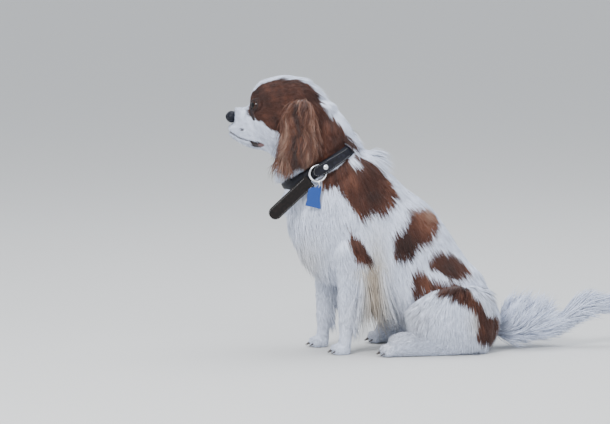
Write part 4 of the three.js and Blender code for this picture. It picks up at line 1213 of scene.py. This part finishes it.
def tuft_mesh(name, points, hair, width, lean=0.0):
    """One mesh of many tufts, each a tapered prism along its line."""
    count, rings = len(points), points.shape[1] - 1
    out = unit(hair["out"])[:, None]
    each = rings * 3 + 1
    faces = tuft_faces(rings)
    pattern = np.array([corner for face in faces for corner in face])
    totals = np.tile([len(face) for face in faces], count)
    loops = (pattern[None] + np.arange(count)[:, None] * each).ravel()
    data = bpy.data.meshes.new(name)
    data.vertices.add(count * each)
    places = tuft_places(points, out, width, rings) * MM
    data.vertices.foreach_set("co", places.astype(np.float32).ravel())
    data.loops.add(len(loops))
    data.loops.foreach_set("vertex_index", loops.astype(np.int32))
    data.polygons.add(len(totals))
    data.polygons.foreach_set("loop_start", (np.cumsum(totals) - totals).astype(np.int32))
    data.update(calc_edges=True)
    data.polygons.foreach_set("use_smooth", np.ones(len(totals), bool))
    along = np.append(np.repeat(np.linspace(0, 1, rings + 1)[:rings], 3), 1)
    chestnut, light = markings(points[:, points.shape[1] // 2], hair["zone"])
    chance = np.random.default_rng(count + 1)
    tone = np.clip(0.5 + 0.16 * ripple(hair["root"], 9, 9) + chance.normal(0, 0.2, count), 0, 1)
    shades = [np.repeat(values, each) for values in (chestnut, light, tone)]
    coat_attribute(data, *shades, np.tile(along, count))
    layer = data.uv_layers.new(name="OFBake")
    patch = np.stack([np.tile([0, 0.5, 1], rings + 1)[:each], along], 1) * UV_PATCH
    uv = hair["uv"][:, None] + patch[pattern][None] - UV_PATCH / 2
    layer.data.foreach_set("uv", uv.astype(np.float32).ravel())
    if lean:
        normals = np.empty(count * each * 3, np.float32)
        data.vertex_normals.foreach_get("vector", normals)
        normals = unit(normals.reshape(-1, 3) + lean * np.repeat(out[:, 0], each, axis=0))
        data.normals_split_custom_set_from_vertices(normals)
    made = new_object(name, data)
    print(f"{name}: {count} tufts, {int((totals - 2).sum())} triangles")
    return made


# %% [markdown]
# Now each region of the dog gets its coat. The tufts are shortest and finest on the face and
# the feet. Long hair takes more steps, so that it can wave and hang. Each region is its own
# mesh, below 200,000 triangles, because a larger mesh is thinned when it is handed on.

# %% Coat, region by region
COAT_SEED = 100
CHEST_LINE = -190  # the chest is ahead of this, the sides are behind it
BARE_ENOUGH = 0.35  # skin barer than this grows no hair
centres = spans.mean(axis=1)
zone_of = kind_of[corners[:, 0]]


def region(*names):
    """Which triangles of the skin are in these zones."""
    return np.isin(zone_of, [kinds.index(name) for name in names])


left_side = centres[:, 1] < 0
straight_centres = turned(centres, back=True)
front_face = region("head") & (straight_centres[:, 0] < -335)
sides = region("torso") & (centres[:, 0] > CHEST_LINE)
chest = region("torso") & (centres[:, 0] <= CHEST_LINE)
REGIONS = [
    # name, triangles of the skin, spacing, steps, gather, tufts to a leader, wave, droop, width
    ("coat_face", front_face, 0.95, 1, 0.0, 9, 0.02, 0.0, 1.0),
    ("coat_head", region("head") & ~front_face, 1.3, 2, 0.25, 9, 0.04, 0.02, 1.0),
    ("coat_ear_left", region("ear") & left_side, 1.5, 5, 0.62, 26, 0.2, 0.15, 0.9),
    ("coat_ear_right", region("ear") & ~left_side, 1.5, 5, 0.62, 26, 0.2, 0.15, 0.9),
    ("coat_neck", region("neck"), 1.75, 3, 0.35, 10, 0.06, 0.1, 1.0),
    ("coat_side_left", sides & left_side, 1.85, 2, 0.3, 10, 0.05, 0.06, 0.85),
    ("coat_side_right", sides & ~left_side, 1.85, 2, 0.3, 10, 0.05, 0.06, 0.85),
    ("coat_chest", chest, 1.9, 3, 0.4, 14, 0.09, 0.12, 0.85),
    ("coat_forelegs", region("foreleg"), 1.75, 2, 0.3, 9, 0.06, 0.05, 1.0),
    ("coat_thighs", region("thigh"), 1.85, 2, 0.35, 10, 0.05, 0.06, 1.0),
    ("coat_hindfeet", region("hindfoot"), 1.7, 1, 0.2, 9, 0.04, 0.02, 1.0),
    ("coat_tail", region("tail"), 1.35, 4, 0.35, 12, 0.1, 0.05, 1.0),
]
coats = []
for order, (name, where, spacing, steps, gather, every, wave, droop, wide) in enumerate(REGIONS):
    chance = np.random.default_rng(COAT_SEED + order)
    hair = scatter(chance, np.nonzero(where)[0], spacing)
    hair = part_of(hair, (hair["bare"] < BARE_ENOUGH) & (hair["root"][:, 2] > 2 * FLOOR_GAP))
    points = centre_lines(hair, chance, steps, gather, every, wave, droop)
    keep = clear_of_collar(points)
    hair = part_of(hair, keep)
    width = hair["lie"][:, 5] * wide * chance.uniform(0.75, 1.2, len(hair["root"]))
    loose = name.startswith(("coat_ear", "coat_tail", "coat_hindfeet"))
    coats.append(tuft_mesh(name, points[keep], hair, width, 0.0 if loose else 0.8))
print("coat:", len(coats), "regions")

# %% [markdown]
# Feathers are the long hair of a spaniel. They grow behind each elbow, down the back of each
# foreleg and under the belly, and the hair of the nape falls over the collar's upper edge. They
# could be longer lines in the table of the coat's lie, but those would lengthen the hair around
# them too, so they are sown on top, each with one lie and one length of its own.

# %% Feathers
FEATHER_SEED = 150
x, y, z = centres.T
legs = region("foreleg", "torso")
elbow = legs & (x > -188) & (x < -148) & (z > 118) & (z < 160) & (np.abs(y) > 34)
fringe = region("foreleg") & (z > 52) & (z < 118) & (skin_out[corners[:, 0]][:, 0] > 0.45)
belly = region("torso") & (z < 112) & (x > -175) & (x < -110)
above_band = (centres - collar_middle) @ down_neck
nape_hair = region("neck", "head") & (np.abs(y) < 30) & (x > -218) & (above_band < -11) & (above_band > -26)
FEATHERS = [
    # where, spacing, length, lie, steepness, steps, gather, tufts to a leader
    (elbow, 2.3, 100, (0.1, 0.05, -1), 12, 5, 0.7, 45),
    (fringe, 2.4, 34, (0.45, 0.1, -1), 22, 3, 0.4, 16),
    (belly, 3.2, 58, (0.2, 0.05, -1), 18, 4, 0.5, 24),
    (nape_hair, 1.8, 36, (0.5, 0.1, -0.87), 46, 4, 0.3, 10),
]
for order, (where, spacing, length, way, steep, steps, gather, every) in enumerate(FEATHERS):
    chance = np.random.default_rng(FEATHER_SEED + order)
    hair = scatter(chance, np.nonzero(where)[0], spacing)
    outward = np.where(hair["root"][:, 1:2] < 0, -1.0, 1.0)
    hair["lie"][:, :3] = np.array(way) * np.hstack([outward * 0 + 1, outward, outward * 0 + 1])
    hair["lie"][:, 3] = length * chance.uniform(0.7, 1.05, len(outward))
    hair["lie"][:, 4] = steep
    points = centre_lines(hair, chance, steps, gather, every, 0.07, 0.06)
    width = chance.uniform(1.2, 1.9, len(outward))
    near = ((points > collar_box[0]) & (points < collar_box[1])).all(axis=2)
    free = [
        not any(collar_tree.find_nearest(point, 1.6)[0] for point in line[close])
        for line, close in zip(points, near)
    ]
    hair = part_of(hair, free)
    coats.append(tuft_mesh(f"coat_feathers_{order + 1}", points[free], hair, width[free]))
print("coat:", len(coats), "pieces with the feathers")

# %% [markdown]
# Every hair gets its colour from four values kept on its vertices: how chestnut it is, how
# light, a tone of its own, and how far along it a point lies, which paints a hair darker toward
# its root as painted shade deep in the coat. One node group mixes them, and the skin uses the
# same group, so that where the coat parts the skin under it has the same patch.


# %% A node group for the coat's colour
def ramp(tree, stops):
    """A colour ramp with these (position, colour) stops."""
    node = tree.nodes.new("ShaderNodeValToRGB")
    while len(node.color_ramp.elements) < len(stops):
        node.color_ramp.elements.new(0.5)
    for element, (position, colour) in zip(node.color_ramp.elements, stops):
        element.position = position
        element.color = (*colour, 1)
    return node


def mix(tree, kind, factor, first, second):
    """A colour mix. Each input is a socket or a plain value."""
    node = tree.nodes.new("ShaderNodeMix")
    node.data_type = "RGBA"
    node.blend_type = kind
    for number, value in ((0, factor), (6, first), (7, second)):
        if isinstance(value, bpy.types.NodeSocket):
            tree.links.new(value, node.inputs[number])
        else:
            node.inputs[number].default_value = value
    return node.outputs[2]


def remap(tree, value, low, high, first=0, last=1):
    """A number between first and last spread over another range."""
    node = tree.nodes.new("ShaderNodeMapRange")
    tree.links.new(value, node.inputs["Value"])
    node.inputs["From Min"].default_value = first
    node.inputs["From Max"].default_value = last
    node.inputs["To Min"].default_value = low
    node.inputs["To Max"].default_value = high
    return node.outputs["Result"]


BROWNS = [
    (0, (0.024, 0.008, 0.0055)),
    (0.4, (0.068, 0.0215, 0.0125)),
    (0.7, (0.165, 0.061, 0.034)),
    (1, (0.33, 0.19, 0.135)),
]
# At 0 the white is tinted blue, painted skylight: the cool colour of white hair in shade. Towards 1 it is
# grey, then cream.
WHITES_PAINTED_SKY_BLUE = [(0, (0.77, 0.83, 0.99)), (0.5, (0.7, 0.68, 0.66)), (1, (0.58, 0.48, 0.37))]
coat_group = bpy.data.node_groups.new("coat colour", "ShaderNodeTree")
for name in ("Chestnut", "Light", "Tone", "Along"):
    coat_group.interface.new_socket(name, in_out="INPUT", socket_type="NodeSocketFloat")
coat_group.interface.new_socket("Colour", in_out="OUTPUT", socket_type="NodeSocketColor")
inputs = coat_group.nodes.new("NodeGroupInput").outputs
brown = ramp(coat_group, BROWNS)
white = ramp(coat_group, WHITES_PAINTED_SKY_BLUE)
coat_group.links.new(inputs["Light"], brown.inputs[0])
coat_group.links.new(inputs["Light"], white.inputs[0])
hair_colour = mix(coat_group, "MIX", inputs["Chestnut"], white.outputs[0], brown.outputs[0])
toned = remap(coat_group, inputs["Tone"], 0.76, 1.14)
# Painted shade deep in the coat: each hair is darker toward its root and lighter at its tip.
painted_root_shade = remap(coat_group, inputs["Along"], 0.86, 1.06)
strength = coat_group.nodes.new("ShaderNodeMath")
strength.operation = "MULTIPLY"
coat_group.links.new(toned, strength.inputs[0])
coat_group.links.new(painted_root_shade, strength.inputs[1])
scaled = coat_group.nodes.new("ShaderNodeVectorMath")
scaled.operation = "SCALE"
coat_group.links.new(hair_colour, scaled.inputs[0])
coat_group.links.new(strength.outputs[0], scaled.inputs["Scale"])
outputs = coat_group.nodes.new("NodeGroupOutput").inputs
coat_group.links.new(scaled.outputs[0], outputs["Colour"])
print("coat colour group:", len(coat_group.nodes), "nodes")

# %% [markdown]
# Hair is a little shiny and a little soft at its edges, so its material has a low specular level
# and a touch of sheen. The skin uses the same colours, and turns dark or pink where it is bare.
# Fine pores are a bump, because relief this small would need millions of faces.


# %% Hair and skin materials
def material(name, roughness=0.6, **sockets):
    """A new material and its Principled shader, with plain values on the named sockets."""
    made = bpy.data.materials.new(name)
    made.use_nodes = True
    shader = made.node_tree.nodes["Principled BSDF"]
    shader.inputs["Roughness"].default_value = roughness
    for socket, value in sockets.items():
        shader.inputs[socket.replace("_", " ")].default_value = value
    return made, made.node_tree, shader


def read_attribute(tree, name):
    """The node that reads a value kept on the vertices."""
    node = tree.nodes.new("ShaderNodeAttribute")
    node.attribute_name = name
    return node


def pattern(tree, kind, **values):
    """A texture on Object coordinates, with these values."""
    place = tree.nodes.new("ShaderNodeTexCoord")
    node = tree.nodes.new(kind)
    for name, value in values.items():
        node.inputs[name].default_value = value
    tree.links.new(place.outputs["Object"], node.inputs["Vector"])
    return node


def relief(tree, height, shader, strength, distance):
    """A bump from a height pattern, in metres."""
    bump = tree.nodes.new("ShaderNodeBump")
    bump.inputs["Strength"].default_value = strength
    bump.inputs["Distance"].default_value = distance
    tree.links.new(height, bump.inputs["Height"])
    tree.links.new(bump.outputs["Normal"], shader.inputs["Normal"])


def coat_colour(tree):
    """The coat's colour from the values on the vertices."""
    read = read_attribute(tree, "coat")
    parts = tree.nodes.new("ShaderNodeSeparateColor")
    group = tree.nodes.new("ShaderNodeGroup")
    group.node_tree = coat_group
    tree.links.new(read.outputs["Color"], parts.inputs[0])
    for socket, name in zip(parts.outputs, ("Chestnut", "Light", "Tone")):
        tree.links.new(socket, group.inputs[name])
    tree.links.new(read.outputs["Alpha"], group.inputs["Along"])
    return group.outputs["Colour"]


hair_paint, tree, shader = material("soft hair", 0.58, Specular_IOR_Level=0.28, Sheen_Weight=0.15)
tree.links.new(coat_colour(tree), shader.inputs["Base Color"])
for coat in coats:
    coat.data.materials.append(hair_paint)

skin_paint, tree, shader = material("skin under the coat", 0.6, Specular_IOR_Level=0.3)
read_bare = read_attribute(tree, "bare").outputs["Fac"]
rims = mix(tree, "MIX", read_bare, coat_colour(tree), (0.022, 0.014, 0.014, 1))
read_pink = read_attribute(tree, "pink").outputs["Fac"]
rims = mix(tree, "MIX", read_pink, rims, (0.16, 0.085, 0.085, 1))
tree.links.new(rims, shader.inputs["Base Color"])
pores = pattern(tree, "ShaderNodeTexNoise", Scale=900, Detail=3)
relief(tree, pores.outputs["Fac"], shader, 0.5, 0.0006)
skin_data.materials.append(skin_paint)
print("materials:", len(bpy.data.materials))

# %% [markdown]
# The eyes are large, round and very dark. Each is a ball with a deep brown iris and a black
# pupil under a clear, glossy coat, which is what catches the sparkle of the lamps. A separate
# clear cornea could be laid over an iris, but in so dark an eye nobody would see the gap.


# %% Eyes
def shaped(name, made, replaces=(), head=True):
    """A bmesh measured in millimetres, made an object and smooth shaded."""
    places = np.array([v.co for v in made.verts])
    places = turned(places) if head else places
    for vertex, place in zip(made.verts, places):
        vertex.co = Vector(place * MM)
    bmesh.ops.recalc_face_normals(made, faces=made.faces)
    data = bpy.data.meshes.new(name)
    made.to_mesh(data)
    made.free()
    data.polygons.foreach_set("use_smooth", [True] * len(data.polygons))
    piece = new_object(name, data)
    if replaces:
        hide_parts(*replaces)
    print(f"{name}: {len(data.polygons)} faces")
    return piece


eye_paint, tree, shader = material(
    "dark eye", 0.3, Specular_IOR_Level=0.02, Coat_Weight=0.5, Coat_Roughness=0.03
)
gaze = read_attribute(tree, "gaze")
iris = ramp(
    tree,
    [
        (0.0, (0.002, 0.002, 0.002)),
        (0.13, (0.002, 0.002, 0.002)),
        (0.15, (0.03, 0.011, 0.006)),
        (0.27, (0.016, 0.006, 0.004)),
        (0.31, (0.006, 0.003, 0.002)),
        (0.36, (0.02, 0.011, 0.01)),
    ],
)
tree.links.new(gaze.outputs["Fac"], iris.inputs[0])
tree.links.new(iris.outputs[0], shader.inputs["Base Color"])
for side, hand in ((-1, "left"), (1, "right")):
    ball = bmesh.new()
    bmesh.ops.create_uvsphere(ball, u_segments=48, v_segments=32, radius=EYE_RADIUS)
    tilts = [math.acos(max(-1, min(1, v.co.z / EYE_RADIUS))) / math.pi for v in ball.verts]
    for vertex, tilt in zip(ball.verts, tilts):  # the cornea stands a little proud
        vertex.co *= 1 + 0.05 * max(0, 1 - (tilt / 0.28) ** 2)
    look = Vector(EYE_LOOK * [1, side, 1])
    bmesh.ops.rotate(ball, matrix=look.to_track_quat("Z", "Y").to_matrix(), verts=ball.verts)
    bmesh.ops.translate(ball, vec=EYE * [1, side, 1], verts=ball.verts)
    eye = shaped("eye_ball_" + hand, ball, ["eye_" + hand])
    single_attribute(eye.data, "gaze", tilts)
    eye.data.materials.append(eye_paint)

# %% [markdown]
# The nose leather is broad and black. A ball is pressed to its shape, two comma-shaped nostrils
# are pushed in at its sides, and a fine groove runs down its middle to the lip. The nostrils
# could be cut out with a boolean, but pushed in they keep the soft rims of a real nose.

# %% Nose
NOSE = np.array([-393, 0, 387.8])
NOSE_DEEP, NOSE_WIDE, NOSE_HIGH = 10.2, 12.5, 9.8  # half sizes
leather_ball = bmesh.new()
bmesh.ops.create_icosphere(leather_ball, subdivisions=5, radius=1)
places = np.array([v.co for v in leather_ball.verts])
x, y, z = places.T
press = 1 - 0.25 * np.maximum(0, -x) ** 3
narrow = 1 - 0.18 * np.maximum(0, -z)
made = np.stack([x * NOSE_DEEP, y * NOSE_WIDE * narrow, z * NOSE_HIGH * press], 1)
for side in (-1, 1):
    lean_in = np.array([[1, 0, 0], [0, 0.85, side * 0.5], [0, -side * 0.5, 0.85]])
    nostril = (made - [-8.6, side * 5.6, -0.4]) @ lean_in
    hole = np.exp(-((nostril / [5, 2.4, 3.4]) ** 2).sum(1))
    slit = np.exp(-(((made[:, 2] + 2.6) / 1.3) ** 2 + ((made[:, 1] - side * 9.5) / 3.2) ** 2))
    slit = slit * (made[:, 0] < 0)
    made[:, 0] += 3.4 * hole + 1.6 * slit
    made[:, 1] -= side * 0.8 * slit
groove = np.exp(-((made[:, 1] / 0.8) ** 2)) * (made[:, 0] < 0) * smooth((3 - made[:, 2]) / 4)
made[:, 0] += 1.3 * groove
for vertex, place in zip(leather_ball.verts, made + NOSE):
    vertex.co = place
nose = shaped("nose_leather", leather_ball, ["nose"])
nose_paint, tree, shader = material("nose leather", 0.4, Specular_IOR_Level=0.18)
cells = pattern(tree, "ShaderNodeTexVoronoi", Scale=1100).outputs["Distance"]
relief(tree, cells, shader, 0.4, 0.0004)
# The black is tinted blue, a painted sheen of the sky, and the cells make it a little darker and lighter.
nose_black_and_sky_sheen = ramp(tree, [(0, (0.004, 0.005, 0.009)), (1, (0.011, 0.013, 0.022))])
tree.links.new(cells, nose_black_and_sky_sheen.inputs[0])
tree.links.new(nose_black_and_sky_sheen.outputs[0], shader.inputs["Base Color"])
nose.data.materials.append(nose_paint)

# %% [markdown]
# Each toe ends in a short dark claw, a cone bent toward the floor. The claws are one joined mesh,
# because they share one material and none of them is ever looked at alone.

# %% Claws
CLAW_LENGTH = 8
CLAW_TILT = math.radians(-122)
claws = bmesh.new()
for side in (-1, 1):
    for rows, step in ((FORE_TOES, FAR_LEG_STEP if side > 0 else 0), (HIND_TOES, 0)):
        for x, y, z, long, _, high in rows:
            claw = bmesh.ops.create_cone(
                claws, cap_ends=True, segments=10, radius1=1.9, radius2=0.35, depth=CLAW_LENGTH
            )["verts"]
            bmesh.ops.scale(claws, vec=(0.72, 1.1, 1), verts=claw)
            bmesh.ops.rotate(claws, matrix=Matrix.Rotation(CLAW_TILT, 3, "Y"), verts=claw)
            bmesh.ops.translate(
                claws, vec=(x + step - long - 1.2, side * y, max(z - high * 0.42, 3.2)), verts=claw
            )
claw_piece = shaped("claws", claws, head=False)
claw_paint, tree, shader = material("claw horn", 0.35, Base_Color=(0.05, 0.04, 0.036, 1))
claw_piece.data.materials.append(claw_paint)

# %% [markdown]
# Whiskers are the one hair that stands alone: a few dozen fine, stiff, pale ones on each pad.
# They are tufts too, only much thinner than the others and far apart.

# %% Whiskers
WHISKER_SEED = 77
WHISKER_LENGTH = 26
WHISKER_STEEPNESS = 46
x, y, z = straight_centres.T
on_pad = region("head") & (np.abs(y) > 13) & (x < -364) & (x > -392) & (np.abs(z - 366) < 9)
chance = np.random.default_rng(WHISKER_SEED)
hair = scatter(chance, np.nonzero(on_pad)[0], 7.5)
hair["lie"][:, :3] = unit(hair["out"]) * 0.4 + [0.55, 0, -0.35]
hair["lie"][:, 3] = WHISKER_LENGTH
hair["lie"][:, 4] = WHISKER_STEEPNESS
points = centre_lines(hair, chance, 4, 0, 9, 0.02, 0.2)
whiskers = tuft_mesh("coat_whiskers", points, hair, np.full(len(points), 0.42))
whiskers.data.materials.append(hair_paint)

# %% [markdown]
# Leather has a fine uneven grain and is a little paler where it is worn. The black collar and
# the dark strap have the same grain in other colours, so the grain is one node group, and each
# material puts its own two colours into it.

# %% Leather
leather_group = bpy.data.node_groups.new("leather grain", "ShaderNodeTree")
leather_group.interface.new_socket("Dark", in_out="INPUT", socket_type="NodeSocketColor")
leather_group.interface.new_socket("Worn", in_out="INPUT", socket_type="NodeSocketColor")
leather_group.interface.new_socket("Colour", in_out="OUTPUT", socket_type="NodeSocketColor")
leather_group.interface.new_socket("Height", in_out="OUTPUT", socket_type="NodeSocketFloat")
inputs = leather_group.nodes.new("NodeGroupInput").outputs
outputs = leather_group.nodes.new("NodeGroupOutput").inputs
grain = pattern(leather_group, "ShaderNodeTexNoise", Scale=260, Detail=5).outputs["Fac"]
wear = remap(leather_group, grain, 0, 1, 0.42, 0.72)
worn_colour = mix(leather_group, "MIX", wear, inputs["Dark"], inputs["Worn"])
leather_group.links.new(worn_colour, outputs["Colour"])
leather_group.links.new(grain, outputs["Height"])
print("leather group:", len(leather_group.nodes), "nodes")


def leather(name, dark, worn, roughness):
    """Grained leather between two colours."""
    made, tree, shader = material(name, roughness, Specular_IOR_Level=0.22)
    group = tree.nodes.new("ShaderNodeGroup")
    group.node_tree = leather_group
    group.inputs["Dark"].default_value = (*dark, 1)
    group.inputs["Worn"].default_value = (*worn, 1)
    tree.links.new(group.outputs["Colour"], shader.inputs["Base Color"])
    relief(tree, group.outputs["Height"], shader, 0.5, 0.0005)
    return made


black = leather("black leather", (0.003, 0.003, 0.005), (0.013, 0.014, 0.026), 0.5)
strap_brown = leather("dark strap", (0.003, 0.002, 0.0019), (0.013, 0.0078, 0.0066), 0.6)

# %% [markdown]
# The collar is made of layers of leather. Every piece of it takes the solid's own place and shape.
# The end, the keeper, the strap and the tag get bevelled edges, and the band, the rings and the
# rivet are divided until they look round.


# %% Collar, strap and tag
def dressed(node, paint, bevel=0.0, rounder=0):
    """The solid's own shape with rounded edges, in place of the solid."""
    made = bmesh.new()
    made.from_mesh(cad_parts[node].data)
    bmesh.ops.remove_doubles(made, verts=made.verts, dist=2e-6)
    if bevel:
        flat = [e for e in made.edges if len(e.link_faces) == 2 and e.calc_face_angle() < 0.02]
        bmesh.ops.dissolve_edges(made, edges=flat, use_verts=False)
        sharp = [e for e in made.edges if len(e.link_faces) == 2 and e.calc_face_angle() > 0.7]
        bmesh.ops.bevel(
            made, geom=sharp, offset=bevel * MM, affect="EDGES", segments=2, profile=0.5, material=-1
        )
    if rounder:
        bmesh.ops.subdivide_edges(made, edges=made.edges, cuts=rounder, smooth=1.0, use_grid_fill=True)
    bmesh.ops.recalc_face_normals(made, faces=made.faces)
    data = bpy.data.meshes.new(node + "_look")
    made.to_mesh(data)
    made.free()
    data.polygons.foreach_set("use_smooth", [bool(rounder)] * len(data.polygons))
    data.materials.append(paint)
    piece = new_object(node + "_look", data)
    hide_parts(node)
    print(f"{piece.name}: {len(data.polygons)} faces")
    return piece


silver = material("silver", 0.22, Base_Color=(0.8, 0.81, 0.84, 1), Metallic=1.0)[0]
enamel = material("blue enamel", 0.3, Base_Color=(0.004, 0.045, 0.23, 1), Coat_Weight=0.3)[0]
dressed("collar_band", black, rounder=2)
dressed("collar_end", black, bevel=0.6)
dressed("collar_keeper", black, bevel=0.5)
dressed("collar_strap", strap_brown, bevel=0.7)
dressed("collar_ring", silver, rounder=2)
dressed("collar_rivet", silver, rounder=2)
dressed("tag_ring", silver, rounder=2)
dressed("tag", enamel, bevel=0.35)

# %% [markdown]
# A stitch is a small grain of pale thread. The rows follow the edges of the folded end and of the
# loose strap, about two millimetres in, down one side, round the tip and back along the other.

# %% Stitches
END_FROM, END_TO = -2.42, -1.34  # where the folded end starts and stops round the collar
END_RADIUS = 66  # millimetres of leather to a radian there
END_HALF_ROW = 7.6  # from the middle of the leather to its rows of stitches
STRAP_HALF_ROW = 9
LEATHER = 3.4  # how thick the leather is
thread = material("thread", 0.8, Base_Color=(0.42, 0.42, 0.42, 1))[0]


def on_collar(turn, over, across):
    """A point of the collar, over the outside of the band and across it."""
    x, y = np.cos(turn), np.sin(turn)
    out = np.stack([x / collar_reach, y / COLLAR_HALF_WIDTH], 1)
    out /= np.linalg.norm(out, axis=1)[:, None]
    return (
        collar_middle
        + forward * (collar_reach * x + over * out[:, 0])[:, None]
        + np.array([0, 1, 0]) * (COLLAR_HALF_WIDTH * y + over * out[:, 1])[:, None]
        + down_neck * across[:, None]
    )


def edge_row(length, half, gap=3.5):
    """Distances along and across a strap for stitches near its edge and round its tip."""
    straight = np.arange(3, length - half, gap)
    bend = np.arange(gap / half / 2, np.pi, gap / half) - np.pi / 2
    along = np.concatenate([straight, length - half + half * np.cos(bend), straight[::-1]])
    across = np.concatenate([0 * straight - half, half * np.sin(bend), 0 * straight + half])
    return along, across


def stitches(name, points):
    """One mesh of grains of thread along rows of points."""
    made = bmesh.new()
    for here, after in zip(points[:-1], points[1:]):
        run = Vector(after - here)
        if run.length > 6:
            continue
        grain = bmesh.ops.create_icosphere(made, subdivisions=1, radius=1)["verts"]
        bmesh.ops.scale(made, vec=(0.3, 0.3, 0.95), verts=grain)
        bmesh.ops.rotate(made, matrix=run.to_track_quat("Z", "Y").to_matrix(), verts=grain)
        bmesh.ops.translate(made, vec=Vector(here), verts=grain)
    piece = shaped(name, made, head=False)
    piece.data.materials.append(thread)


end_length = (END_TO - END_FROM) * END_RADIUS
along, across = edge_row(end_length, END_HALF_ROW)
share = along / end_length
lift = 0.3 + 6.1 * smooth((share - 0.5) / 0.24) + LEATHER + 0.15
narrow = np.where(np.abs(across) > 7.5, 0.8 + 0.2 * smooth(share / 0.7), 1)
rows = on_collar(END_FROM + (END_TO - END_FROM) * share, lift, across * narrow)
stitches("collar_stitches", rows)
STRAP_START = np.array([-269.5, -53.4, 288.4])
STRAP_TIP = np.array([-334.5, -56.5, 228.8])
strap_length = np.linalg.norm(STRAP_TIP - STRAP_START)
strap_way = (STRAP_TIP - STRAP_START) / strap_length
strap_out = unit(np.array([0, -1, 0]) + strap_way * strap_way[1])
strap_across = np.cross(strap_way, strap_out)
along, across = edge_row(strap_length, STRAP_HALF_ROW)
rows = STRAP_START + along[:, None] * strap_way + across[:, None] * strap_across
stitches("strap_stitches", rows + strap_out * (LEATHER + 0.15))
